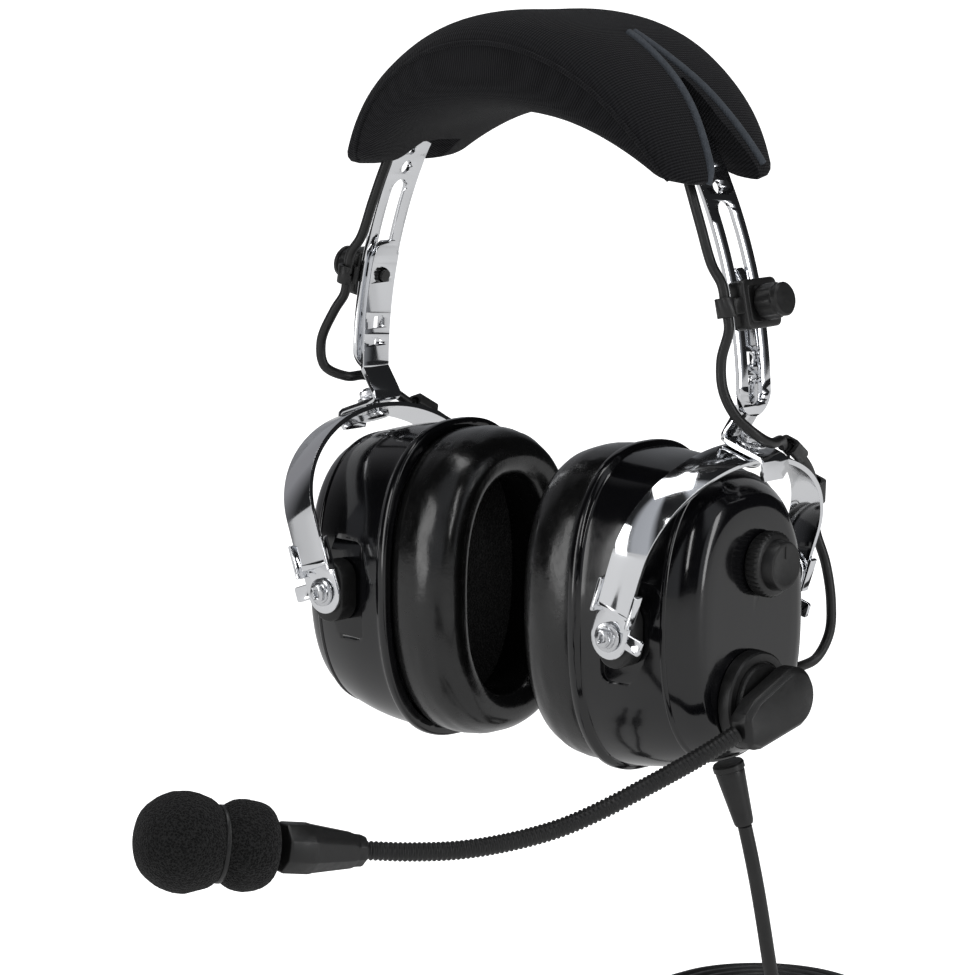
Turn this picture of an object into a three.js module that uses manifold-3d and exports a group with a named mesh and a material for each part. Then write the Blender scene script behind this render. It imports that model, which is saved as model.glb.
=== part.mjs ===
// Aviation headset: a sprung headband with a wrapped crown pad, two curved
// sliders held by thumb screws, swivelling stirrups, tilting ear cups, a
// gooseneck microphone boom and a two-plug communication cord.
// Millimetres. +X is the wearer's left, -Y the way the wearer faces, +Z up.
// The origin is midway between the two ear cups.
import * as THREE from "three";
import { mergeVertices } from "three/addons/utils/BufferGeometryUtils.js";
import Module from "manifold-3d";

const wasm = await Module();
wasm.setup();

// ---------- driving dimensions ----------
const cupSpacing = 73.2; // between the two flange planes
const flangeWidth = 74;
const flangeHeight = 103;
const cupDepth = 43.4; // flange plane to the outer face
const cupExponent = 2.5; // superellipse exponent of the cup outline
const wall = 3.4;
const gap = 0.3; // clearance between pieces that touch

const sheet = 1.5; // thickness of the sprung steel strips
const bandWidth = 15.5;
const bandY = 2; // the band runs a little behind the cup centres
const armRadius = 151.5; // curved slotted arms of the headband
const armCentre = new THREE.Vector2(-73.4, 64.6);
const crownRadius = 69.3;
const crownCentreZ = 101.8;
const blendAngle = 26.9; // where an arm runs into the crown arc
const bandEndAngle = -1;
const slotWidth = 6.8;
const slotLow = 65.4;
const slotHigh = 126.6;

const sliderWidth = 12;
const sliderRadius = armRadius - sheet - gap;
const sliderTopAngle = 16.2;
const clampAngle = 11.8;

const pivot = new THREE.Vector3(58.3, 0, -1.7); // cup tilt axis, along Y
const lean = 19.1; // outward lean of the stirrup, degrees
const stirrupWidth = 12;
const stirrupHalf = 44.5;
const stirrupShoulder = 25; // along the leaned axis, where the arch starts
const stirrupTop = 56.5;

const padOuterRadius = 81.5;
const padInnerRadius = 102;
const padInnerCentreZ = 49;
const padDepth = 74;
const padEndZ = 137;

const boomPivot = new THREE.Vector3(84, -2, -24);
const goosenecks = 5.8; // outside diameter of the gooseneck

const cordDiameter = 4.6;
const floorZ = -150;
const leadDiameter = 3.6;

const crossoverDiameter = 3.2;

// ---------- materials ----------
function finish(color, roughness, metalness) {
  return new THREE.MeshStandardMaterial({ color, roughness, metalness });
}
const chrome = finish(0xd8dadd, 0.12, 1);
const steel = finish(0xb4b7ba, 0.3, 1);
const glossPlastic = finish(0x1b1d20, 0.12, 0);
const mattePlastic = finish(0x222325, 0.55, 0);
const sealVinyl = finish(0x17181a, 0.3, 0);
const foam = finish(0x2a2b2d, 0.95, 0);
const knit = finish(0x242527, 0.95, 0);
const cableRubber = finish(0x1c1d1f, 0.5, 0);
const brass = finish(0xc9a65a, 0.3, 1);

// ---------- solids ----------
function toSolid(geometry) {
  const bare = geometry.clone();
  bare.deleteAttribute("normal");
  bare.deleteAttribute("uv");
  const merged = mergeVertices(bare, 1e-3);
  const make = (triVerts) =>
    new wasm.Manifold(
      new wasm.Mesh({
        numProp: 3,
        vertProperties: new Float32Array(merged.attributes.position.array),
        triVerts,
      }),
    );
  const triVerts = new Uint32Array(merged.index.array);
  const made = make(triVerts);
  return made.volume() > 0 ? made : make(triVerts.toReversed());
}

function toGeometry(solid) {
  const mesh = solid.getMesh();
  const geometry = new THREE.BufferGeometry();
  const position = new Float32Array(mesh.vertProperties);
  geometry.setAttribute("position", new THREE.BufferAttribute(position, 3));
  geometry.setIndex(new THREE.BufferAttribute(new Uint32Array(mesh.triVerts), 1));
  geometry.computeVertexNormals();
  return geometry;
}

function cut(body, ...tools) {
  const solid = tools.reduce((s, tool) => s.subtract(toSolid(tool)), toSolid(body));
  return toGeometry(solid);
}

function join(body, ...more) {
  const solid = more.reduce((s, other) => s.add(toSolid(other)), toSolid(body));
  return toGeometry(solid);
}

function common(body, other) {
  return toGeometry(toSolid(body).intersect(toSolid(other)));
}

// A shape drawn in the plane of u and v, pushed from low to high along u x v.
function push(shape, origin, u, v, low, high, curveSegments = 3) {
  const geometry = new THREE.ExtrudeGeometry(shape, {
    depth: high - low,
    bevelEnabled: false,
    curveSegments,
  });
  const w = new THREE.Vector3().crossVectors(u, v);
  geometry.translate(0, 0, low);
  geometry.applyMatrix4(new THREE.Matrix4().makeBasis(u, v, w).setPosition(origin));
  return geometry;
}

const X = new THREE.Vector3(1, 0, 0);
const Y = new THREE.Vector3(0, 1, 0);
const Z = new THREE.Vector3(0, 0, 1);
const O = new THREE.Vector3(0, 0, 0);

const pushX = (shape, low, high) => push(shape, O, Y, Z, low, high);
// Drawn in X and Z, pushed along Y.
function pushY(shape, low, high, curveSegments = 3) {
  return push(shape, O, X, Z, -high, -low, curveSegments);
}

function circle(radius, x = 0, y = 0) {
  return roundedRectangle(2 * radius, 2 * radius, radius, x, y);
}

function roundedRectangle(width, height, radius, x = 0, y = 0) {
  const w = width / 2 - radius;
  const h = height / 2 - radius;
  return new THREE.Shape()
    .absarc(x + w, y + h, radius, 0, Math.PI / 2, false)
    .absarc(x - w, y + h, radius, Math.PI / 2, Math.PI, false)
    .absarc(x - w, y - h, radius, Math.PI, 1.5 * Math.PI, false)
    .absarc(x + w, y - h, radius, 1.5 * Math.PI, 2 * Math.PI, false);
}

function stadium(width, low, high, x = 0) {
  const r = width / 2;
  return new THREE.Shape()
    .absarc(x, high - r, r, 0, Math.PI, false)
    .absarc(x, low + r, r, Math.PI, 2 * Math.PI, false);
}

// A round bar from one point to another.
function rod(from, to, radius, endRadius = radius, sides = 12) {
  const along = new THREE.Vector3().subVectors(to, from);
  const geometry = new THREE.CylinderGeometry(endRadius, radius, along.length(), sides);
  const turn = new THREE.Quaternion().setFromUnitVectors(Y, along.clone().normalize());
  geometry.applyQuaternion(turn);
  const middle = new THREE.Vector3().addVectors(from, to).multiplyScalar(0.5);
  return geometry.translate(middle.x, middle.y, middle.z);
}

// A tube through hand-chosen points.
function tube(points, diameter, sides = 8, stepLength = 3) {
  const curve = new THREE.CatmullRomCurve3(points, false, "centripetal");
  const section = new THREE.Shape();
  for (let i = 0; i < sides; i++) {
    const angle = (2 * Math.PI * i) / sides;
    const x = (diameter / 2) * Math.cos(angle);
    const y = (diameter / 2) * Math.sin(angle);
    if (i) section.lineTo(x, y);
    else section.moveTo(x, y);
  }
  const steps = Math.min(80, Math.ceil(curve.getLength() / (stepLength * diameter)));
  return new THREE.ExtrudeGeometry(section, {
    steps: Math.max(4, steps),
    extrudePath: curve,
    bevelEnabled: false,
  });
}

// A LatheGeometry whose rings become superellipses about the X axis.
// Each profile point is [x, half width, half height].
function squareLathe(profile, segments, centreY = 0, centreZ = 0) {
  const outline = profile.map(([x, , high]) => new THREE.Vector2(Math.max(high, 0), x));
  const geometry = new THREE.LatheGeometry(outline, segments);
  const position = geometry.attributes.position;
  const power = 2 / cupExponent;
  const bend = (value) => Math.sign(value) * Math.abs(value) ** power;
  for (let i = 0; i <= segments; i++) {
    const angle = (2 * Math.PI * (i % segments)) / segments;
    profile.forEach(([x, wide, high], j) => {
      const y = centreY + wide * bend(Math.cos(angle));
      const z = centreZ + high * bend(Math.sin(angle));
      position.setXYZ(i * profile.length + j, x, y, z);
    });
  }
  return geometry;
}

function named(name, geometry, material) {
  const mesh = new THREE.Mesh(toGeometry(toSolid(geometry)), material);
  mesh.name = name;
  return mesh;
}

function at(x, y, z) {
  return new THREE.Vector3(x, y, z);
}

const degrees = THREE.MathUtils.degToRad;

// A point at a radius and an angle about the arm's centre of curvature.
function onArm(radius, angle, y = bandY) {
  const a = degrees(angle);
  return at(armCentre.x + radius * Math.cos(a), y, armCentre.y + radius * Math.sin(a));
}

// ---------- leaned frame of a stirrup ----------
const leanUp = at(Math.sin(degrees(lean)), 0, Math.cos(degrees(lean)));
const leanOut = at(Math.cos(degrees(lean)), 0, -Math.sin(degrees(lean)));

function leaned(out, y, up) {
  return pivot.clone().addScaledVector(leanUp, up).addScaledVector(leanOut, out).setY(y);
}

// ---------- headband ----------
function headbandOutline(extra) {
  const outline = new THREE.Shape();
  const side = (sign, radius, from, to, clockwise) =>
    outline.absarc(sign * armCentre.x, armCentre.y, radius, from, to, clockwise);
  const low = degrees(bandEndAngle);
  const mid = degrees(blendAngle);
  const out = sheet / 2 + extra;
  side(1, armRadius + out, low, mid, false);
  outline.absarc(0, crownCentreZ, crownRadius + out, mid, Math.PI - mid, false);
  side(-1, armRadius + out, Math.PI - mid, Math.PI - low, false);
  side(-1, armRadius - out, Math.PI - low, Math.PI - mid, true);
  outline.absarc(0, crownCentreZ, crownRadius - out, Math.PI - mid, mid, true);
  side(1, armRadius - out, mid, low, true);
  return outline;
}

function headbandSpring() {
  const half = bandWidth / 2;
  const strip = pushY(headbandOutline(0), bandY - half, bandY + half, 9);
  const lowEnd = onArm(armRadius, bandEndAngle).z;
  const topEnd = crownCentreZ + crownRadius + 2 * sheet;
  const face = stadium(bandWidth, lowEnd - 1, topEnd + half, bandY);
  const rounded = common(strip, pushX(face, -100, 100));
  return cut(
    rounded,
    pushX(stadium(slotWidth, slotLow, slotHigh, bandY), -100, 100),
    pushX(circle(2.1, bandY, 130.6), -100, 100),
  );
}

function headpad() {
  const endAngle = Math.asin((padEndZ - crownCentreZ) / padOuterRadius);
  const innerAngle = Math.asin((padEndZ - padInnerCentreZ) / padInnerRadius);
  const outline = new THREE.Shape()
    .absarc(0, crownCentreZ, padOuterRadius, endAngle, Math.PI - endAngle, false)
    .absarc(0, padInnerCentreZ, padInnerRadius, Math.PI - innerAngle, innerAngle, true);
  const middle = bandY;
  const body = pushY(outline, middle - padDepth / 2, middle + padDepth / 2, 12);
  const clear = bandWidth / 2 + gap + 0.2;
  const tunnel = pushY(headbandOutline(gap + 0.2), middle - clear, middle + clear, 9);
  return cut(body, tunnel);
}

// ---------- slider, clamp and swivel bolt ----------
const footUp = stirrupTop + 0.5; // underside of the foot along the leaned axis
const footInner = -7;
const footOuter = 9.6;
const lipLength = 5.5;

function sliderSheet() {
  const outline = new THREE.Shape();
  const half = sheet / 2;
  const a = degrees(sliderTopAngle);
  const point = (out, up) => {
    const p = leaned(out, 0, up);
    return [p.x, p.z];
  };
  const { x, y } = armCentre;
  outline.absarc(x, y, sliderRadius + half, 0, a, false);
  outline.absarc(x, y, sliderRadius - half, a, 0, true);
  outline.lineTo(...point(footInner - 1, footUp + 3));
  outline.lineTo(...point(footInner, footUp));
  outline.lineTo(...point(footOuter, footUp));
  outline.lineTo(...point(footOuter + 0.4, footUp - lipLength));
  outline.lineTo(...point(footOuter + sheet + 0.4, footUp - lipLength));
  outline.lineTo(...point(footOuter + sheet, footUp + sheet));
  outline.lineTo(...point(footInner + 1.6, footUp + sheet));
  outline.lineTo(...point(footInner + 0.8, footUp + 3.4));
  return pushY(outline, bandY - sliderWidth / 2, bandY + sliderWidth / 2, 6);
}

function slider() {
  const radial = onArm(1, clampAngle).sub(onArm(0, clampAngle));
  const clampFrom = onArm(sliderRadius, clampAngle).addScaledVector(radial, -5);
  const clampTo = onArm(sliderRadius, clampAngle).addScaledVector(radial, 5);
  const window = roundedRectangle(4, 4, 0.4, bandY, 79.5);
  return cut(
    sliderSheet(),
    rod(clampFrom, clampTo, 2.4),
    rod(leaned(0, bandY, footUp - 3), leaned(0, bandY, footUp + 4), 2.8),
    pushX(window, 60, 90),
  );
}

// Frame at the clamp: u along the band, v along Y, w outward.
function clampFrame(radius) {
  const origin = onArm(radius, clampAngle);
  const out = onArm(1, clampAngle).sub(onArm(0, clampAngle));
  const along = new THREE.Vector3().crossVectors(Y, out);
  return { origin, along, out };
}

const clipY = -10.4; // the crossover cable runs along the band's front edge
const clipOut = 1.2;

function clampBlock() {
  const { origin, along, out } = clampFrame(armRadius + sheet / 2);
  const block = roundedRectangle(15, 17, 2);
  const body = push(block, origin, along, Y, gap, 5.6);
  const arm = push(roundedRectangle(5, 6, 0.6, 0, -9.4), origin, along, Y, 3.6, 5);
  const hook = new THREE.Shape()
    .absarc(0, 0, 3.1, degrees(-60), degrees(240), false)
    .absarc(0, 0, 1.9, degrees(240), degrees(-60), true);
  const hookOrigin = origin.clone().addScaledVector(Y, clipY - bandY);
  hookOrigin.addScaledVector(out, clipOut);
  const clip = push(hook, hookOrigin, Y, out, -3, 3, 6);
  const hole = rod(origin.clone().addScaledVector(out, -3),
    origin.clone().addScaledVector(out, 9), 2.5);
  return cut(join(body, arm, clip), hole);
}

function clampKnob() {
  const { origin, along, out } = clampFrame(armRadius + sheet / 2);
  const flutes = new THREE.Shape();
  const count = 32;
  for (let i = 0; i < count; i++) {
    const angle = (2 * Math.PI * i) / count;
    const r = 5.2 + 0.35 * Math.cos(8 * angle);
    if (i) flutes.lineTo(r * Math.cos(angle), r * Math.sin(angle));
    else flutes.moveTo(r, 0);
  }
  const grip = push(flutes, origin, along, Y, 6, 14.6);
  const screw = rod(
    origin.clone().addScaledVector(out, -4.6),
    origin.clone().addScaledVector(out, 7),
    1.9,
  );
  return join(grip, screw);
}

function swivelBolt() {
  const from = stirrupTop - 1.8;
  const shank = rod(leaned(0, bandY, from - 1), leaned(0, bandY, footUp + 5.4), 2.4);
  const head = rod(leaned(0, bandY, from - 2.6), leaned(0, bandY, from - gap), 4.4);
  const washer = rod(leaned(0, bandY, footUp + sheet + gap),
    leaned(0, bandY, footUp + sheet + gap + 0.9), 4.7);
  const nut = rod(leaned(0, bandY, footUp + sheet + gap + 0.8),
    leaned(0, bandY, footUp + sheet + gap + 3.2), 4, 4, 6);
  return join(shank, head, washer, nut);
}

// ---------- stirrup ----------
function archOutline(inset, bottom) {
  const half = stirrupHalf - inset;
  const rise = stirrupTop - stirrupShoulder - inset;
  const outline = new THREE.Shape();
  outline.moveTo(half, bottom);
  outline.absellipse(0, stirrupShoulder, half, rise, 0, Math.PI, false);
  outline.lineTo(-half, bottom);
  return outline;
}

function stirrup() {
  const outer = archOutline(0, 8);
  const inner = archOutline(sheet, 0);
  const half = stirrupWidth / 2;
  const strip = cut(
    push(outer, pivot, Y, leanUp, -half, half, 16),
    push(inner, pivot, Y, leanUp, -half - 1, half + 1, 16),
  );
  const hole = rod(leaned(0, bandY, stirrupTop - 5), leaned(0, bandY, stirrupTop + 3), 2.8);
  return cut(strip, hole);
}

// Front bracket; the rear one is its mirror in Y.
function bracket(side) {
  const inner = stirrupHalf - sheet - gap;
  const plate = stadiumOn(side, -7, 17, 13.4, inner - sheet, inner);
  const railLow = 6;
  const rails = [-1, 1].map((edge) =>
    pushSide(side, roundedRectangle(1.2, 17 - railLow, 0.3, edge * 6.95, (17 + railLow) / 2),
      inner - 0.5, stirrupHalf + 0.9));
  const tab = pushSide(side, roundedRectangle(8, 5, 0.6, 8.2, 1.5), inner - sheet, inner);
  const hole = pushSide(side, circle(2.1), inner - 5, inner + 5);
  return cut(join(plate, ...rails, tab), hole);
}

// A shape in the stirrup's leaned plane, pushed between two distances from y = 0.
function pushSide(side, shape, low, high) {
  return side < 0
    ? push(shape, pivot, leanOut, leanUp, low, high)
    : push(shape, pivot, leanOut, leanUp, -high, -low);
}

function stadiumOn(side, low, high, width, near, far) {
  return pushSide(side, stadium(width, low, high), near, far);
}

function pivotScrew(side) {
  const y = (distance) => at(pivot.x, side * distance, pivot.z);
  const face = stirrupHalf - sheet - gap;
  const shank = rod(y(35), y(44), 1.8);
  const washer = rod(y(face + gap), y(face + gap + 0.8), 4.5);
  const head = rod(y(face + gap + 0.6), y(46.1), 3.1, 3.1, 6);
  return join(shank, washer, head);
}

// The cable lies on the outside of the arch, at an angle from the Y axis.
const cableLift = crossoverDiameter / 2 + gap + 0.5;

function onArch(angle, lift) {
  const a = degrees(angle);
  const y = (stirrupHalf + lift) * Math.cos(a);
  const rise = (stirrupTop - stirrupShoulder + lift) * Math.sin(a);
  return leaned(0, y, stirrupShoulder + rise);
}

// A saddle that holds the crossover cable on the stirrup.
function stirrupClip(angle) {
  const foot = onArch(angle, 0);
  const normal = onArch(angle, 10).sub(foot).normalize();
  const outline = roundedRectangle(6.8, 4.8, 1.2, 0, 2.9);
  const body = push(outline, foot, leanOut, normal, -4, 4);
  const bore = push(circle(crossoverDiameter / 2 + 2 * gap, 0, cableLift), foot, leanOut,
    normal, -6, 6);
  return cut(body, bore);
}

// ---------- ear cups ----------
const flangeX = cupSpacing / 2;
const faceX = flangeX + cupDepth;
const sealOpening = [20, 34];

function earCup() {
  const w = flangeWidth / 2;
  const h = flangeHeight / 2;
  const outside = [
    [faceX, 0, 0],
    [faceX, 23, 35],
    [faceX - 1.2, 26.5, 38.4],
    [faceX - 5, 30, 41.8],
    [faceX - 12, 32.4, 45],
    [faceX - 24, 34.6, 48],
    [flangeX + 4.6, 35.6, 49.6],
    [flangeX + 3.6, w, h],
    [flangeX + 0.6, w, h],
  ];
  const inside = [
    [flangeX + 0.6, w - 3.6, h - 3.6],
    [faceX - 24, 34.6 - wall, 48 - wall],
    [faceX - 12, 32.4 - wall, 45 - wall],
    [faceX - wall, 25, 36],
    [faceX - wall, 0, 0],
  ];
  const shell = squareLathe([...outside, ...inside], 28);
  const pockets = [-1, 1].map((side) => {
    const recess = new THREE.BoxGeometry(19, 8, 32);
    recess.translate(pivot.x, side * 37, pivot.z);
    return recess;
  });
  const knobHole = rod(at(faceX - 6, 5, 17), at(faceX + 4, 5, 17), 3.6);
  return { shell, pockets, knobHole };
}

function hingeBlock(side) {
  const outline = stadium(12.4, -10, 10);
  const block = side < 0
    ? push(outline, pivot, X, Z, 33.3, 40.7)
    : push(outline, pivot, X, Z, -40.7, -33.3);
  const hole = rod(at(pivot.x, side * 34.6, pivot.z), at(pivot.x, side * 45, pivot.z), 2.1);
  return cut(block, hole);
}

function earSeal() {
  const [ow, oh] = sealOpening;
  const profile = [
    [flangeX + 0.3, 33.6, 48],
    [31, 35, 49.4],
    [25, 35, 49.2],
    [19, 33.4, 47.6],
    [15, 30.8, 45],
    [13.7, 28.8, 43],
    [13.7, 24.4, 38.6],
    [14.8, 22.4, 36.6],
    [17.4, 20.6, 34.6],
    [23, ow, oh],
    [31, 22.4, 36.4],
    [flangeX + 0.3, 25, 39],
  ];
  return squareLathe([...profile, profile[0]], 24);
}

const plate = (low, high, wide, tall) =>
  squareLathe([[low, 0, 0], [low, wide, tall], [high, wide, tall], [high, 0, 0]], 20);

function speakerBaffle() {
  const disc = plate(41, 42.8, 30.4, 44.6);
  const shape = circle(14);
  return cut(disc, push(shape, O, Y, Z, 30, 50));
}

function speaker() {
  const outline = [[0, 43.2], [19, 43.2], [19, 46], [13, 48], [13, 53], [0, 53]];
  const points = outline.map(([r, x]) => new THREE.Vector2(r, x));
  return new THREE.LatheGeometry(points, 20).rotateZ(-Math.PI / 2);
}

const earFoam = () => plate(37.4, 40.6, 30.2, 44.4);

// ---------- left cup controls ----------
function volumeKnob() {
  const centre = (x) => at(x, 5, 17);
  const ribs = new THREE.Shape();
  const count = 40;
  for (let i = 0; i < count; i++) {
    const angle = (2 * Math.PI * i) / count;
    const r = 9.9 + 0.25 * (i % 2);
    if (i) ribs.lineTo(r * Math.cos(angle), r * Math.sin(angle));
    else ribs.moveTo(r, 0);
  }
  const base = push(ribs, centre(0), Y, Z, faceX + gap, faceX + 5.2);
  const cap = rod(centre(faceX + 5), centre(faceX + 9), 7.8, 7.4, 20);
  const shaft = rod(centre(faceX - 5), centre(faceX + 2), 3);
  return join(base, cap, shaft);
}

function volumeControl() {
  const centre = (x) => at(x, 5, 17);
  return rod(centre(faceX - 14), centre(faceX - 5.4), 8.2, 8.2, 20);
}

function boomBase() {
  const { x, y, z } = boomPivot;
  const disc = rod(at(faceX + gap, y, z), at(x + 0.6, y, z), 15.4, 14.6, 20);
  const boss = rod(at(x, y, z), at(x + 2.2, y, z), 11.6, 11.2, 20);
  const bore = rod(at(faceX - 1, y, z), at(x + 4, y, z), 4.3);
  return cut(join(disc, boss), bore);
}

// Faceted arm that turns on the base and holds the gooseneck.
function boomArm() {
  const { x, y, z } = boomPivot;
  const outline = new THREE.Shape()
    .absarc(6, 1, 9.6, degrees(-70), degrees(110), false)
    .lineTo(-13.5, 3.4)
    .lineTo(-19, -1.4)
    .lineTo(-17.4, -10.6)
    .lineTo(-12, -12.4);
  const low = x + 2.6;
  const high = x + 10.6;
  const body = push(outline, at(0, y, z), Y, Z, low, high, 8);
  const stub = rod(at(faceX + 1, y, z), at(low + 1, y, z), 4);
  return join(body, stub);
}

const gooseneckRoute = [
  at(90.4, -21.6, -30.4), at(88.6, -26.6, -32.8), at(85.6, -34.4, -36.4), at(79, -53, -43.6),
  at(73, -64.4, -48.8), at(67, -75.6, -52.9), at(60, -90, -55.5), at(53, -104.2, -56.4),
  at(46, -118.2, -55.5), at(39.6, -130, -53.9),
];

const micHousing = () => rod(at(39.2, -131, -53.8), at(30, -156, -49.6), 5.4, 7.6, 8);

const micAxisFrom = at(29.7, -156.8, -49.5);
const micAxisTo = at(13, -184, -45.4);

function micWindscreen() {
  const points = [[0, 0], [7, 0.6], [11.4, 3.6], [13, 9], [12.4, 13], [10.6, 16.6],
    [12.6, 20.4], [14.3, 27], [13, 34], [8.6, 39.4], [0, 41.4]];
  const outline = points.map(([r, h]) => new THREE.Vector2(r, h));
  const lathe = new THREE.LatheGeometry(outline, 16);
  const along = new THREE.Vector3().subVectors(micAxisTo, micAxisFrom).normalize();
  const turn = new THREE.Quaternion().setFromUnitVectors(Y, along);
  lathe.applyQuaternion(turn);
  const start = micAxisFrom.clone().addScaledVector(along, gap);
  return lathe.translate(start.x, start.y, start.z);
}

// ---------- crossover cable ----------
// It passes inside the crown pad, leaves each end of it, runs through the clip of
// each clamp block and down to the stirrup, and into the rear of each cup.
const crownLeft = [
  at(59.8, -8.5, 135.4), at(62.2, -9, 130), at(66.4, -9.6, 119.8), at(71, -10, 108.4),
  onArm(armRadius + 1.95, 14.4, clipY), onArm(armRadius + 1.95, 12, clipY),
];
const upperLeft = [
  onArm(armRadius + 1.95, 11.7, clipY), onArm(armRadius + 1.95, 9.4, clipY),
  at(75.4, -10.6, 80), at(76.2, -10.6, 71), at(79.8, -9, 63.4), at(84.4, -4.6, 57.6),
  at(84.8, 2, 54.6), at(82.6, 9.6, 54.4), onArch(66, cableLift),
];
const upperRight = [
  onArm(armRadius + 1.95, 11.7, clipY), onArm(armRadius + 1.95, 9.4, clipY),
  at(81, -12, 84.2), at(87, -12, 73.4), at(86.4, -11, 65.4), at(81.6, -6, 62),
  at(80.4, 2, 61.6), at(79, 10, 57.4), onArch(66, cableLift),
];
const lowerRun = [
  ...[64.5, 56, 47, 38, 29, 20, 11].map((angle) => onArch(angle, cableLift)),
  at(67.6, 49, 20), at(70.4, 50.6, 10), at(72.4, 51, -2), at(72.6, 50, -12),
  at(71.4, 45, -19.4), at(70.2, 38.6, -21.2), at(70, 33.4, -21.2),
];

// ---------- communication cord ----------
const reliefTop = at(66, 6.6, -47.2);
const reliefEnd = at(69.4, 11, -67);

const strainRelief = () => rod(reliefTop, reliefEnd, 5, 3, 20);

// From the strain relief down to the floor.
const cordRoute = [
  at(69.5, 11.1, -67.6), at(70.4, 12.9, -76), at(71, 15.6, -87), at(70.9, 19, -99),
  at(70.4, 22.4, -110), at(69.6, 26, -120), at(68.6, 30.4, -130), at(67.4, 36.4, -138.6),
  at(66.4, 43, -143.6), at(65.8, 49, -146), at(65.5, 54, -146.8),
];

const coilRadius = 27; // at the middle of its turns, four wide and two deep
const coilHalf = 2 * cordDiameter;
const coilTall = 2 * cordDiameter;
const tieSheet = 0.6;
const coilCentre = at(31.5, 72, floorZ + tieSheet + gap);

function cordCoil() {
  const outline = [
    [coilRadius - coilHalf, 0], [coilRadius + coilHalf, 0],
    [coilRadius + coilHalf, coilTall], [coilRadius - coilHalf, coilTall],
    [coilRadius - coilHalf, 0],
  ];
  const points = outline.map(([r, h]) => new THREE.Vector2(r, h));
  const ring = new THREE.LatheGeometry(points, 24).rotateX(Math.PI / 2);
  return ring.translate(coilCentre.x, coilCentre.y, coilCentre.z);
}

// A strap round one side of the coil.
function coilTie() {
  const outer = roundedRectangle(2 * coilHalf + 3.2, coilTall + 2.4, 1.2, coilRadius, coilTall / 2);
  const inner = roundedRectangle(2 * coilHalf + 5 * gap, coilTall + 2 * gap, 0.6,
    coilRadius, coilTall / 2);
  const turn = degrees(-52);
  const along = at(Math.cos(turn), Math.sin(turn), 0);
  const band = cut(
    push(outer, coilCentre, along, Z, -4, 4),
    push(inner, coilCentre, along, Z, -5, 5),
  );
  return common(band, new THREE.BoxGeometry(300, 300, 40).translate(0, 0, floorZ + 20));
}

// From the coil to the splitter, then two leads that end in plugs.
const tailRoute = [
  at(-2.6, 53.4, -142.2), at(-3.4, 45, -143), at(-4.8, 36, -144.8), at(-6, 28, -146.1),
  at(-6.6, 22.2, -146.6),
];
const splitterFront = -3;
const splitterBack = 21.6;
const leadSpread = 4;
const splitterX = -6.6;
const plugHandle = 5.8; // radius
const plugLength = 34;

function cordSplitter() {
  const length = splitterBack - splitterFront;
  const outline = new THREE.Shape()
    .moveTo(-3.4, length)
    .lineTo(-7, length - 9)
    .absarc(-5, 2, 2, Math.PI, 1.5 * Math.PI, false)
    .absarc(5, 2, 2, 1.5 * Math.PI, 2 * Math.PI, false)
    .lineTo(7, length - 9)
    .lineTo(3.4, length);
  const origin = at(splitterX, splitterFront, floorZ);
  return push(outline, origin, X, Y, 0, 6.6);
}

function leadRoute(side) {
  const x = (offset) => splitterX + side * offset;
  const low = floorZ + leadDiameter / 2;
  return [
    at(x(leadSpread), splitterFront - gap - 0.1, low + 1.4),
    at(x(leadSpread + 0.6), splitterFront - 10, low + 0.5),
    at(x(leadSpread + 2.4), splitterFront - 24, low),
    at(x(leadSpread + 5.2), splitterFront - 38, low),
    at(x(leadSpread + 7), splitterFront - 52, low),
    at(x(leadSpread + 7.4), splitterFront - 63, low + 1.8),
    at(x(leadSpread + 7.4), splitterFront - 72, floorZ + plugHandle - 0.3),
    at(x(leadSpread + 7.4), splitterFront - 80, floorZ + plugHandle),
  ];
}

// Lathe profile from the cord end of the handle to the plug's tip.
function plug(side, pinRadius, pinLength) {
  const profile = [
    [0, 0], [2.6, 0], [3.4, 10], [plugHandle, 12], [plugHandle, plugLength - 1],
    [5, plugLength], [pinRadius, plugLength], [pinRadius, plugLength + pinLength - 5],
    [pinRadius * 0.62, plugLength + pinLength - 3.6],
    [pinRadius * 0.86, plugLength + pinLength - 2], [0, plugLength + pinLength],
  ];
  const points = profile.map(([r, h]) => new THREE.Vector2(r, h));
  const body = new THREE.LatheGeometry(points, 12).rotateX(Math.PI);
  const x = splitterX + side * (leadSpread + 7.4);
  return body.translate(x, splitterFront - 80 - gap - 0.2, floorZ + plugHandle);
}

// ---------- assembly ----------
const headset = new THREE.Group();
headset.add(named("headband_spring", headbandSpring(), chrome));
headset.add(named("headpad", headpad(), knit));

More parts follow.
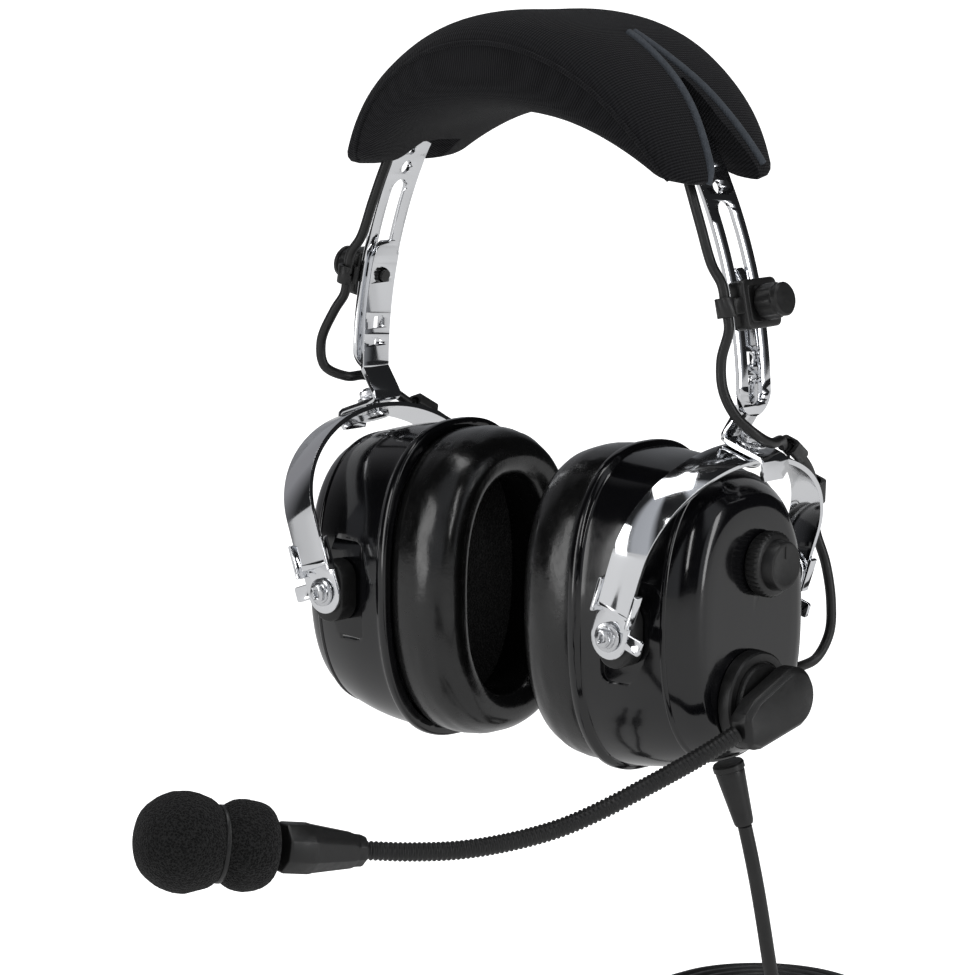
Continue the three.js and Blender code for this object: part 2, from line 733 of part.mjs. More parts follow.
for (const [name, sign] of [["left", 1], ["right", -1]]) {
  const side = new THREE.Group();
  side.scale.x = sign;
  const add = (piece, geometry, material) =>
    side.add(named(`${name}_${piece}`, geometry, material));
  add("slider", slider(), chrome);
  add("clamp_block", clampBlock(), mattePlastic);
  add("clamp_knob", clampKnob(), mattePlastic);
  add("swivel_bolt", swivelBolt(), steel);
  add("stirrup", stirrup(), chrome);
  for (const [end, along] of [["front", -1], ["rear", 1]]) {
    add(`bracket_${end}`, bracket(along), chrome);
    add(`pivot_screw_${end}`, pivotScrew(along), steel);
    add(`hinge_block_${end}`, hingeBlock(along), mattePlastic);
  }
  const { shell, pockets, knobHole } = earCup();
  const holes = sign > 0 ? [...pockets, knobHole] : pockets;
  add("ear_cup", cut(shell, ...holes), glossPlastic);
  add("ear_seal", earSeal(), sealVinyl);
  add("ear_foam", earFoam(), foam);
  add("speaker_baffle", speakerBaffle(), mattePlastic);
  add("speaker", speaker(), mattePlastic);
  add("stirrup_clip_top", stirrupClip(58), mattePlastic);
  add("crossover_crown", tube(crownLeft, crossoverDiameter), cableRubber);
  const upper = sign > 0 ? upperLeft : upperRight;
  add("crossover_upper", tube(upper, crossoverDiameter), cableRubber);
  add("crossover_lower", tube(lowerRun, crossoverDiameter), cableRubber);
  headset.add(side);
}

headset.add(named("left_stirrup_clip_rear", stirrupClip(22), mattePlastic));
headset.add(named("volume_knob", volumeKnob(), mattePlastic));
headset.add(named("volume_control", volumeControl(), mattePlastic));
headset.add(named("boom_base", boomBase(), mattePlastic));
headset.add(named("boom_arm", boomArm(), mattePlastic));
headset.add(named("gooseneck", tube(gooseneckRoute, goosenecks, 8, 1.4), cableRubber));
headset.add(named("mic_housing", micHousing(), mattePlastic));
headset.add(named("mic_windscreen", micWindscreen(), foam));
headset.add(named("strain_relief", strainRelief(), cableRubber));
headset.add(named("cord_tube", tube(cordRoute, cordDiameter, 8, 1.6), cableRubber));
headset.add(named("cord_coil", cordCoil(), cableRubber));
headset.add(named("coil_tie", coilTie(), mattePlastic));
headset.add(named("cord_tail", tube(tailRoute, cordDiameter, 8, 1.6), cableRubber));
headset.add(named("cord_splitter", cordSplitter(), cableRubber));
headset.add(named("headphone_lead", tube(leadRoute(-1), leadDiameter, 8, 2), cableRubber));
headset.add(named("microphone_lead", tube(leadRoute(1), leadDiameter, 8, 2), cableRubber));
headset.add(named("headphone_plug", plug(-1, 3.17, 31), brass));
headset.add(named("microphone_plug", plug(1, 2.62, 30), brass));

export default headset;
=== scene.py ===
"""An aviation headset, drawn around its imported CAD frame. Lengths in the code are millimetres."""
import math

import bmesh
import bpy
from mathutils import Matrix, Vector, noise
from mathutils.bvhtree import BVHTree


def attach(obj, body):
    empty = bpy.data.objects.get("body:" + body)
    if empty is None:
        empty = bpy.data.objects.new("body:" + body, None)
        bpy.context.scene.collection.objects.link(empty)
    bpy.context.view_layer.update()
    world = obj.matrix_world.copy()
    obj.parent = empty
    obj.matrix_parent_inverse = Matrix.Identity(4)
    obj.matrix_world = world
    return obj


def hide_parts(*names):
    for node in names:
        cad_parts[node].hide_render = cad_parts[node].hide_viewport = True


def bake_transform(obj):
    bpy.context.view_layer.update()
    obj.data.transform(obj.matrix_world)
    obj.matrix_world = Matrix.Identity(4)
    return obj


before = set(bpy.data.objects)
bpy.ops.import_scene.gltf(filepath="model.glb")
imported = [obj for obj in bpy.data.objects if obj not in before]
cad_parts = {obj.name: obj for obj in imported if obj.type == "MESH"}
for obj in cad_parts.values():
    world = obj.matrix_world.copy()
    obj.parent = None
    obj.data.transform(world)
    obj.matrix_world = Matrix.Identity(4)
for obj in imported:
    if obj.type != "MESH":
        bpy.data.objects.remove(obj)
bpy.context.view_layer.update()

MM = 0.001
BAND_Y = 2.0
SHEET = 1.5
BAND_WIDTH = 15.5
ARM_RADIUS = 151.5
ARM_X, ARM_Z = -73.4, 64.6
CROWN_RADIUS = 69.3
CROWN_Z = 101.8
BLEND_ANGLE = 26.9
CLAMP_ANGLE = 11.8
PIVOT = Vector((58.3, 0, -1.7))
LEAN = math.radians(19.1)
STIRRUP_HALF = 44.5
STIRRUP_SHOULDER = 25.0
STIRRUP_TOP = 56.5
FACE_X = 80.0
FLOOR_Z = -150.0
CORD = 4.6
LEAD = 3.6
CROSSOVER = 3.2
SLIDER_RADIUS = ARM_RADIUS - SHEET - 0.3
SLIDER_TOP_ANGLE = 16.2
SLOT_WIDTH = 6.8
SLOT_LOW, SLOT_HIGH = 65.4, 126.6
CABLE_RADIUS = ARM_RADIUS + 1.95
CABLE_Y = -10.4
CABLE_LIFT = 2.4
KNOB_CENTRE = Vector((0, 5, 17))
BOOM_CENTRE = Vector((0, -2, -24))
PAD_HALF_DEPTH = 37
PAD_OUTER_RADIUS = 81.5
PAD_INNER_RADIUS = 102
PAD_INNER_Z = 49
GOOSENECK = 5.8
SIDES = (("left", 1), ("right", -1))

X = Vector((1, 0, 0))
Y = Vector((0, 1, 0))
Z = Vector((0, 0, 1))
LEAN_UP = Vector((math.sin(LEAN), 0, math.cos(LEAN)))
LEAN_OUT = Vector((math.cos(LEAN), 0, -math.sin(LEAN)))


# ---------- places ----------
def leaned(out, y, up):
    """A point in the leaned plane of the left stirrup."""
    p = PIVOT + LEAN_UP * up + LEAN_OUT * out
    return Vector((p.x, y, p.z))


def on_arm(radius, degrees, y=BAND_Y):
    """A point about the centre that the left arm of the band curves round."""
    a = math.radians(degrees)
    return Vector((ARM_X + radius * math.cos(a), y, ARM_Z + radius * math.sin(a)))


def on_arch(degrees, lift):
    """A point on the outside of the left stirrup's arch."""
    a = math.radians(degrees)
    rise = (STIRRUP_TOP - STIRRUP_SHOULDER + lift) * math.sin(a)
    return leaned(0, (STIRRUP_HALF + lift) * math.cos(a), STIRRUP_SHOULDER + rise)


def arc(cx, cy, rx, ry, start, end, count):
    """Points of an ellipse's arc, angles in degrees."""
    points = []
    for i in range(count + 1):
        a = math.radians(start + (end - start) * i / count)
        points.append((cx + rx * math.cos(a), cy + ry * math.sin(a)))
    return points


def rounded_box(width, height, radius, count=6, x=0.0, y=0.0):
    w, h = width / 2 - radius, height / 2 - radius
    points = []
    for k, (sx, sy) in enumerate(((1, 1), (-1, 1), (-1, -1), (1, -1))):
        points += arc(x + sx * w, y + sy * h, radius, radius, 90 * k, 90 * k + 90, count)
    return points


def stadium(width, low, high, count=12, x=0.0):
    r = width / 2
    return arc(x, high - r, r, r, 0, 180, count) + arc(x, low + r, r, r, 180, 360, count)


def smooth_route(points, step=1.2):
    """A centripetal Catmull-Rom curve through the points."""
    p = [Vector(q) for q in points]
    p = [p[0] * 2 - p[1]] + p + [p[-1] * 2 - p[-2]]
    out = []
    for i in range(1, len(p) - 2):
        p0, p1, p2, p3 = p[i - 1 : i + 3]
        t0 = 0.0
        t1 = t0 + math.sqrt((p1 - p0).length)
        t2 = t1 + math.sqrt((p2 - p1).length)
        t3 = t2 + math.sqrt((p3 - p2).length)
        count = max(2, round((p2 - p1).length / step))
        for k in range(count):
            t = t1 + (t2 - t1) * k / count
            a1 = p0 * ((t1 - t) / (t1 - t0)) + p1 * ((t - t0) / (t1 - t0))
            a2 = p1 * ((t2 - t) / (t2 - t1)) + p2 * ((t - t1) / (t2 - t1))
            a3 = p2 * ((t3 - t) / (t3 - t2)) + p3 * ((t - t2) / (t3 - t2))
            b1 = a1 * ((t2 - t) / (t2 - t0)) + a2 * ((t - t0) / (t2 - t0))
            b2 = a2 * ((t3 - t) / (t3 - t1)) + a3 * ((t - t1) / (t3 - t1))
            out.append(b1 * ((t2 - t) / (t2 - t1)) + b2 * ((t - t1) / (t2 - t1)))
    out.append(p[-2].copy())
    return out


# ---------- meshes ----------
def piece(name, points, faces, material, sharp=40):
    """A mesh object from points in millimetres."""
    mesh = bpy.data.meshes.new(name)
    mesh.from_pydata([Vector(p) * MM for p in points], [], faces)
    obj = bpy.data.objects.new(name, mesh)
    bpy.context.scene.collection.objects.link(obj)
    bm = bmesh.new()
    bm.from_mesh(mesh)
    bmesh.ops.remove_doubles(bm, verts=bm.verts, dist=1e-7)
    bmesh.ops.recalc_face_normals(bm, faces=bm.faces)
    bm.to_mesh(mesh)
    bm.free()
    mesh.materials.append(material)
    shade(obj, sharp)
    return obj


def shade(obj, sharp):
    obj.data.shade_smooth()
    obj.data.set_sharp_from_angle(angle=math.radians(sharp))


def settle(obj):
    """Applies the modifiers."""
    graph = bpy.context.evaluated_depsgraph_get()
    mesh = bpy.data.meshes.new_from_object(obj.evaluated_get(graph))
    old = obj.data
    obj.modifiers.clear()
    obj.data = mesh
    bpy.data.meshes.remove(old)
    return obj


def boolean(obj, cutter, operation="DIFFERENCE"):
    modifier = obj.modifiers.new("cut", "BOOLEAN")
    modifier.operation = operation
    modifier.solver = "EXACT"
    modifier.object = cutter
    settle(obj)
    bpy.data.objects.remove(cutter)
    return obj


def bevel(obj, width, segments=2, angle=40, sharp=32):
    modifier = obj.modifiers.new("edge", "BEVEL")
    modifier.width = width * MM
    modifier.segments = segments
    modifier.limit_method = "ANGLE"
    modifier.angle_limit = math.radians(angle)
    modifier.harden_normals = True
    settle(obj)
    shade(obj, sharp)
    return obj


def join(name, parts):
    """One object from several, each a closed body of its own."""
    bm = bmesh.new()
    materials = []
    for part in parts:
        start = len(bm.faces)
        bm.from_mesh(part.data)
        bm.faces.ensure_lookup_table()
        for face in bm.faces[start:]:
            material = part.data.materials[face.material_index]
            if material not in materials:
                materials.append(material)
            face.material_index = materials.index(material)
    obj = parts[0]
    for part in parts[1:]:
        bpy.data.objects.remove(part)
    bm.to_mesh(obj.data)
    bm.free()
    obj.data.materials.clear()
    for material in materials:
        obj.data.materials.append(material)
    obj.name = name
    return obj


def mirrored(obj, sign):
    if sign < 0:
        obj.data.transform(Matrix.Scale(-1, 4, X))
        obj.data.flip_normals()
    return obj


def prism(name, outline, origin, u, v, low, high, material, sharp=40):
    """An outline in the plane of u and v, pushed along u x v."""
    w = u.cross(v)
    base = [Vector(origin) + u * a + v * b for a, b in outline]
    n = len(base)
    points = [p + w * low for p in base] + [p + w * high for p in base]
    faces = [tuple(range(n)), tuple(range(2 * n - 1, n - 1, -1))]
    faces += [(i, (i + 1) % n, n + (i + 1) % n, n + i) for i in range(n)]
    return piece(name, points, faces, material, sharp)


def loft(name, rings, material, caps=True, closed=False, sharp=40):
    """Skins rings of equal length; closed joins the last ring to the first."""
    n = len(rings[0])
    points = [p for ring in rings for p in ring]
    faces = []
    spans = len(rings) if closed else len(rings) - 1
    for i in range(spans):
        a, b = i * n, ((i + 1) % len(rings)) * n
        faces += [(a + k, a + (k + 1) % n, b + (k + 1) % n, b + k) for k in range(n)]
    if caps and not closed:
        faces += [tuple(range(n)), tuple(range(len(points) - 1, len(points) - n - 1, -1))]
    return piece(name, points, faces, material, sharp)


def lathe(name, profile, origin, axis, material, count=48, sharp=40, wobble=None):
    """Turns a profile of (radius, height) about an axis. wobble adds to a radius."""
    axis = Vector(axis).normalized()
    side = axis.orthogonal().normalized()
    other = axis.cross(side)
    rings = []
    for radius, height in profile:
        ring = []
        for k in range(count):
            a = 2 * math.pi * k / count
            r = max(radius, 0.02)
            if wobble:
                r += wobble(a, height, radius)
            outward = side * math.cos(a) + other * math.sin(a)
            ring.append(Vector(origin) + axis * height + outward * r)
        rings.append(ring)
    return loft(name, rings, material, sharp=sharp)


def tube(name, route, section, material, step=1.2, first=None, sharp=50):
    """Sweeps section(distance), a list of (a, b) pairs, along a smooth route."""
    path = smooth_route(route, step)
    tangents = []
    for i in range(len(path)):
        tangents.append((path[min(i + 1, len(path) - 1)] - path[max(i - 1, 0)]).normalized())
    normal = Vector(first) if first else tangents[0].orthogonal()
    rings, distance = [], 0.0
    for i, (p, t) in enumerate(zip(path, tangents)):
        if i:
            distance += (p - path[i - 1]).length
        normal = (normal - t * normal.dot(t)).normalized()
        binormal = t.cross(normal)
        rings.append([p + normal * a + binormal * b for a, b in section(distance)])
    return loft(name, rings, material, sharp=sharp), path


def round_section(diameter, count=14):
    ring = arc(0, 0, diameter / 2, diameter / 2, 0, 360, count)[:-1]
    return lambda distance: ring


# ---------- materials ----------
class Nodes:
    """A short way to write a material's node tree."""

    def __init__(self, name):
        self.material = bpy.data.materials.new(name)
        self.material.use_nodes = True
        self.tree = self.material.node_tree
        self.shader = self.tree.nodes["Principled BSDF"]
        self.place = self.add("ShaderNodeTexCoord").outputs["Object"]

    def add(self, kind, **inputs):
        node = self.tree.nodes.new(kind)
        for key, value in inputs.items():
            self.feed(node.inputs[key.replace("_", " ")], value)
        return node

    def feed(self, socket, value):
        if isinstance(value, bpy.types.NodeSocket):
            self.tree.links.new(value, socket)
        else:
            socket.default_value = value

    def set(self, **inputs):
        for key, value in inputs.items():
            self.feed(self.shader.inputs[key.replace("_", " ")], value)
        return self

    def noise(self, scale, detail=4.0, roughness=0.6):
        node = self.add("ShaderNodeTexNoise", Vector=self.place, Scale=scale, Detail=detail)
        node.inputs["Roughness"].default_value = roughness
        return node.outputs["Fac"]

    def ramp(self, value, low, high):
        """Maps 0..1 to between two colours or numbers."""
        node = self.add("ShaderNodeValToRGB", Fac=value)
        elements = node.color_ramp.elements
        for element, colour in zip(elements, (low, high)):
            if isinstance(colour, (int, float)):
                colour = (colour,) * 3
            element.color = (*colour, 1)
        elements[0].position, elements[1].position = 0.3, 0.7
        return node.outputs["Color"]

    def math(self, operation, a, b=0.0):
        node = self.tree.nodes.new("ShaderNodeMath")
        node.operation = operation
        self.feed(node.inputs[0], a)
        self.feed(node.inputs[1], b)
        return node.outputs[0]

    def split(self):
        node = self.add("ShaderNodeSeparateXYZ", Vector=self.place)
        return node.outputs["X"], node.outputs["Y"], node.outputs["Z"]

    def bump(self, height, strength=0.3, distance=0.0002):
        previous = self.shader.inputs["Normal"]
        node = self.add("ShaderNodeBump", Height=height, Strength=strength, Distance=distance)
        if previous.links:
            self.tree.links.new(previous.links[0].from_socket, node.inputs["Normal"])
        self.tree.links.new(node.outputs["Normal"], previous)
        return self


def chrome_material(name, tint=(0.86, 0.87, 0.89), low=0.05, high=0.12):
    n = Nodes(name)
    n.set(Metallic=1.0)
    n.set(Base_Color=n.ramp(n.noise(40), tuple(c * 0.95 for c in tint), tint))
    n.set(Roughness=n.ramp(n.noise(160, 6), low, high))
    return n.bump(n.noise(25, 2), 0.06, 0.0004).material


def gloss_material():
    n = Nodes("gloss_black_plastic")
    n.set(Base_Color=n.ramp(n.noise(60), (0.0025, 0.0025, 0.003), (0.004, 0.004, 0.005)))
    n.set(Roughness=n.ramp(n.noise(300, 8), 0.09, 0.17), Coat_Weight=0.3, Coat_Roughness=0.06)
    return n.bump(n.noise(900, 3), 0.04, 0.0001).material


def matte_material(name="satin_black_plastic", shade_low=0.008, shade_high=0.013, rough=0.42):
    n = Nodes(name)
    n.set(Base_Color=n.ramp(n.noise(120), shade_low, shade_high))
    n.set(Roughness=n.ramp(n.noise(500, 6), rough - 0.07, rough + 0.07))
    return n.bump(n.noise(2600, 3), 0.25, 0.00008).material


def vinyl_material():
    n = Nodes("black_seal_vinyl")
    n.set(Base_Color=n.ramp(n.noise(80), 0.003, 0.006))
    n.set(Roughness=n.ramp(n.noise(260, 8), 0.16, 0.3), Coat_Weight=0.25, Coat_Roughness=0.12)
    grain = n.add("ShaderNodeTexVoronoi", Vector=n.place, Scale=1400.0).outputs["Distance"]
    n.bump(n.noise(110, 5), 0.35, 0.0006)
    return n.bump(grain, 0.12, 0.0001).material


def foam_material():
    n = Nodes("black_foam")
    cells = n.add("ShaderNodeTexVoronoi", Vector=n.place, Scale=1500.0).outputs["Distance"]
    # The colour follows the cell relief: the pits of the cells are darker, painted shade.
    n.set(Base_Color=n.ramp(cells, 0.003, 0.020), Roughness=0.95)
    n.set(Sheen_Weight=0.06, Sheen_Roughness=0.5, Specular_IOR_Level=0.2)
    n.bump(n.noise(2200, 4), 0.7, 0.0004)
    return n.bump(cells, 0.9, 0.0005).material


def knit_material():
    """Ribs that run from front to rear, each a row of small loops."""
    n = Nodes("ribbed_knit")
    x, y, z = n.split()
    angle = n.math("ARCTAN2", n.math("SUBTRACT", z, CROWN_Z * MM), x)
    rib = n.math("SINE", n.math("MULTIPLY", angle, 520.0))
    sway = n.math("MULTIPLY", n.noise(40, 2), 3.0)
    loop = n.math("SINE", n.math("ADD", n.math("MULTIPLY", y, 6200.0), sway))
    weave = n.math("ADD", n.math("MULTIPLY", rib, 0.35), n.math("MULTIPLY", loop, 0.15))
    height = n.math("ADD", weave, 0.5)
    # The colour follows the rib height: the grooves between ribs and loops are darker, painted
    # shade.
    n.set(Base_Color=n.ramp(height, (0.004, 0.004, 0.005), (0.016, 0.016, 0.018)), Roughness=0.92)
    n.set(Sheen_Weight=0.05, Sheen_Roughness=0.45, Specular_IOR_Level=0.2)
    n.bump(n.noise(30, 3), 0.25, 0.002)
    n.bump(n.noise(2400, 3), 0.3, 0.0002)
    return n.bump(height, 0.8, 0.00035).material


def binding_material():
    n = Nodes("slate_binding")
    x, y, z = n.split()
    along = n.math("SINE", n.math("MULTIPLY", n.math("ADD", x, z), 5200.0))
    across = n.math("SINE", n.math("MULTIPLY", n.math("SUBTRACT", y, z), 5200.0))
    weave = n.math("MULTIPLY_ADD", n.math("MULTIPLY", along, across), 0.5)
    n.set(Base_Color=n.ramp(n.noise(500, 5), (0.035, 0.042, 0.052), (0.055, 0.065, 0.08)))
    n.set(Roughness=0.78, Sheen_Weight=0.1)
    return n.bump(weave, 0.4, 0.0002).material


def cable_material(name="cable_jacket", rough=0.42):
    n = Nodes(name)
    n.set(Base_Color=n.ramp(n.noise(150), 0.006, 0.011))
    n.set(Roughness=n.ramp(n.noise(400, 6), rough - 0.08, rough + 0.08))
    return n.bump(n.noise(1500, 3), 0.15, 0.0001).material


def metal_material(name, colour, low, high):
    n = Nodes(name)
    n.set(Metallic=1.0)
    n.set(Base_Color=n.ramp(n.noise(200), tuple(c * 0.88 for c in colour), colour))
    n.set(Roughness=n.ramp(n.noise(700, 6), low, high))
    return n.bump(n.noise(1200, 3), 0.08, 0.0001).material


CHROME = chrome_material("mirror_chrome")
STEEL = metal_material("bright_steel", (0.74, 0.75, 0.77), 0.16, 0.3)
GLOSS = gloss_material()
MATTE = matte_material()
VINYL = vinyl_material()
FOAM = foam_material()
KNIT = knit_material()
BINDING = binding_material()
CABLE = cable_material()
PLUG = metal_material("plug_metal", (0.8, 0.68, 0.44), 0.12, 0.25)
DARK = matte_material("dark_lining", 0.006, 0.012, 0.8)


def fit(obj, slot, body, *nodes):
    """Puts a piece in the place of CAD nodes, hiding them, and under its body. The slot argument is
    not used.
    """
    if nodes:
        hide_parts(*nodes)
    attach(obj, body)


# ---------- ribbons of sprung steel ----------
def ribbon(name, path, across, half_width, thickness, material):
    """A strip along a path. half_width is a function of the distance along it and its length."""
    lengths = [0.0]
    for a, b in zip(path, path[1:]):
        lengths.append(lengths[-1] + (b - a).length)
    rings = []
    for i, p in enumerate(path):
        along = (path[min(i + 1, len(path) - 1)] - path[max(i - 1, 0)]).normalized()
        normal = along.cross(across) * (thickness / 2)
        side = across * half_width(lengths[i], lengths[-1])
        rings.append([p + side + normal, p - side + normal, p - side - normal, p + side - normal])
    return loft(name, rings, material)


def rounded_end(half, distance, blunt=1.0):
    """Half the width of a strip at a distance from its rounded end."""
    reach = half * blunt
    if distance >= reach:
        return half
    return max(0.4, half * math.sqrt(1 - (1 - distance / reach) ** 2))


def end_steps(path, reach):
    """More points near the first end, so that its rounding is smooth."""
    start, following = path[0], path[1:]
    direction = (following[0] - start).normalized()
    extra = [start + direction * (reach * (1 - math.cos(math.radians(k)))) for k in range(0, 90, 9)]
    return extra + [p for p in following if (p - start).length > reach]


def x_prism(name, outline, low, high):
    return prism(name, outline, Vector((0, 0, 0)), Y, Z, low, high, DARK)


def make_headband():
    left = [on_arm(ARM_RADIUS, -0.9 + 27.8 * i / 46) for i in range(46)]
    outline = arc(0, CROWN_Z, CROWN_RADIUS, CROWN_RADIUS, BLEND_ANGLE, 180 - BLEND_ANGLE, 90)
    crown = [Vector((x, BAND_Y, z)) for x, z in outline]
    right = [Vector((-p.x, p.y, p.z)) for p in reversed(left)]
    half = BAND_WIDTH / 2
    path = end_steps(left + crown, half) + right[:-1]
    path = end_steps(list(reversed(path)), half)
    path.reverse()

    def half_width(d, total):
        return rounded_end(half, min(d, total - d))

    band = ribbon("sprung_headband", path, Y, half_width, SHEET, CHROME)
    slot = x_prism("slot", stadium(SLOT_WIDTH, SLOT_LOW, SLOT_HIGH, 14, BAND_Y), -100, 100)
    boolean(band, slot)
    for z, radius in ((130.6, 2.1), (136.0, 1.4)):
        boolean(band, x_prism("hole", arc(BAND_Y, z, radius, radius, 0, 360, 20)[:-1], -100, 100))
    bevel(band, 0.28, 2)
    fit(band, "polished_chrome", "headband", "headband_spring")


def make_slider(name, sign):
    path = [on_arm(SLIDER_RADIUS, SLIDER_TOP_ANGLE * (1 - i / 36)) for i in range(37)]
    inward = [(-6.6, 60.9), (-6.9, 59.4), (-6.5, 58.1), (-5.4, 57.75)]
    foot = [(-2.0, 57.75), (2.0, 57.75), (6.0, 57.75), (8.4, 57.7)]
    lip = [(9.8, 57.2), (10.35, 55.9), (10.6, 53.6), (10.75, 51.6)]
    path += [leaned(out, BAND_Y, up) for out, up in inward + foot + lip]

    def half_width(d, total):
        if d < 5:
            return 3.0 + 3.0 * (d / 5) ** 0.6
        if total - d < 2.5:
            return 6 - 1.4 * (1 - (total - d) / 2.5) ** 2
        return 6.0

    strip = ribbon(f"{name}_slide_strip", path, Y, half_width, SHEET, CHROME)
    boolean(strip, x_prism("window", rounded_box(4, 4, 0.5, 3, BAND_Y, 79.5), 60, 90))
    boolean(strip, x_prism("window", arc(BAND_Y, 73.0, 1.3, 1.3, 0, 360, 16)[:-1], 60, 90))
    away = (on_arm(1, CLAMP_ANGLE) - on_arm(0, CLAMP_ANGLE)).normalized()
    screw_hole = (on_arm(SLIDER_RADIUS, CLAMP_ANGLE), away, 2.4)
    bolt_hole = (leaned(0, BAND_Y, 57.75), LEAN_UP, 2.8)
    for centre, axis, r in (screw_hole, bolt_hole):
        boolean(strip, lathe("hole", [(r, -4), (r, 4)], centre, axis, DARK, 24))
    bevel(strip, 0.26, 2)
    mirrored(strip, sign)
    fit(strip, "polished_chrome", f"{name}_slider", f"{name}_slider")


def make_clamp(name, sign):
    origin = on_arm(ARM_RADIUS + SHEET / 2, CLAMP_ANGLE)
    out = (on_arm(1, CLAMP_ANGLE) - on_arm(0, CLAMP_ANGLE)).normalized()
    along = Y.cross(out)
    block = prism("block", rounded_box(15, 17, 2.2), origin, along, Y, 0.3, 5.6, MATTE)
    boolean(block, lathe("bore", [(2.5, -3), (2.5, 9)], origin, out, DARK, 24))
    bevel(block, 0.7, 3)
    arm = prism("arm", rounded_box(5, 6.4, 0.6, 3, 0, -9.2), origin, along, Y, 3.6, 5, MATTE)
    bevel(arm, 0.25, 2)
    hook = arc(0, 0, 3.1, 3.1, -60, 240, 26) + arc(0, 0, 1.95, 1.95, 240, -60, 26)
    clip = prism("clip", hook, origin + Y * (CABLE_Y - BAND_Y) + out * 1.2, Y, out, -3, 3, MATTE)
    bevel(clip, 0.25, 2, 50)
    ridge = prism("ridge", rounded_box(11.4, 13.4, 1.6), origin, along, Y, 5.2, 6.0, MATTE)
    bevel(ridge, 0.3, 2)
    boolean(ridge, lathe("bore", [(5.9, 4), (5.9, 9)], origin, out, DARK, 32))
    clamp = mirrored(join(f"{name}_band_clamp", [block, arm, clip, ridge]), sign)
    fit(clamp, "matte_plastic", f"{name}_slider", f"{name}_clamp_block")

    def flute(a, height, radius):
        near = max(0.0, 1 - abs(height - 9.2) / 3.4)
        return 0.34 * math.cos(8 * a) * min(1.0, near * 3) if radius > 4 else 0.0

    screw = [(1.9, -4.6), (1.9, 6.0)]
    grip = [(4.6, 6.0), (5.15, 6.5), (5.2, 8), (5.2, 9.6), (5.2, 11.2), (5.1, 12.0)]
    cap = [(4.75, 12.3), (4.7, 12.7), (5.1, 13.0), (5.15, 14.0), (4.6, 14.55), (0.0, 14.75)]
    knob = lathe(f"{name}_clamp_grip", screw + grip + cap, origin, out, MATTE, 96, 35, flute)
    mirrored(knob, sign)
    fit(knob, "matte_plastic", f"{name}_clamp_knob", f"{name}_clamp_knob")


def make_swivel_bolt(name, sign):
    base = leaned(0, BAND_Y, 0)
    shank = lathe("shank", [(2.35, 54.2), (2.4, 62.2), (2.0, 62.7)], base, LEAN_UP, STEEL, 32)
    head = lathe("head", [(3.6, 52.1), (4.4, 52.8), (4.4, 54.4)], base, LEAN_UP, STEEL, 40)
    washer = lathe("washer", [(4.7, 58.85), (4.7, 59.65)], base, LEAN_UP, STEEL, 40)
    nut = lathe("nut", [(4.1, 59.7), (4.1, 61.9)], base, LEAN_UP, STEEL, 6, 20)
    bevel(head, 0.2, 2)
    bevel(washer, 0.15, 2)
    bevel(nut, 0.3, 3)
    bolt = mirrored(join(f"{name}_swivel_fastener", [shank, head, washer, nut]), sign)
    fit(bolt, "bright_steel", f"{name}_slider", f"{name}_swivel_bolt")


# ---------- stirrups ----------
def side_prism(name, side, outline, near, far, material):
    """An outline in the stirrup's leaned plane, between two distances from y = 0."""
    low, high = (near, far) if side < 0 else (-far, -near)
    return prism(name, outline, PIVOT, LEAN_OUT, LEAN_UP, low, high, material)


def make_stirrup(name, sign):
    half = STIRRUP_HALF - SHEET / 2
    rise = STIRRUP_TOP - STIRRUP_SHOULDER - SHEET / 2
    path = [leaned(0, half, 8 + i) for i in range(0, 17)]
    path += [leaned(0, y, up) for y, up in arc(0, STIRRUP_SHOULDER, half, rise, 0, 180, 100)]
    path += [leaned(0, -half, 24 - i) for i in range(0, 17)]
    strip = ribbon(f"{name}_arch_strip", path, LEAN_OUT, lambda d, total: 6.0, SHEET, CHROME)
    hole = lathe("hole", [(2.8, 50), (2.8, 60)], leaned(0, BAND_Y, 0), LEAN_UP, DARK, 28)
    boolean(strip, hole)
    bevel(strip, 0.26, 2)
    mirrored(strip, sign)
    fit(strip, "polished_chrome", f"{name}_stirrup", f"{name}_stirrup")


def make_bracket(name, sign, end, side):
    inner = STIRRUP_HALF - SHEET - 0.3
    plate = side_prism("plate", side, stadium(13.4, -7, 17, 16), inner - SHEET, inner, CHROME)
    bore = arc(0, 0, 2.1, 2.1, 0, 360, 24)[:-1]
    boolean(plate, side_prism("hole", side, bore, inner - 4, inner + 3, DARK))
    parts = [bevel(plate, 0.35, 3)]
    for edge in (-1, 1):
        outline = rounded_box(1.3, 11, 0.4, 3, edge * 6.95, 11.5)
        rail = side_prism("rail", side, outline, inner - 0.5, STIRRUP_HALF + 0.9, CHROME)
        parts.append(bevel(rail, 0.2, 2))
    outline = rounded_box(8, 5, 0.9, 3, 8.2, 1.5)
    tab = side_prism("tab", side, outline, inner - SHEET + 0.1, inner - 0.1, CHROME)
    parts.append(bevel(tab, 0.3, 2))
    bracket = mirrored(join(f"{name}_{end}_fork", parts), sign)
    fit(bracket, "polished_chrome", f"{name}_stirrup", f"{name}_bracket_{end}")


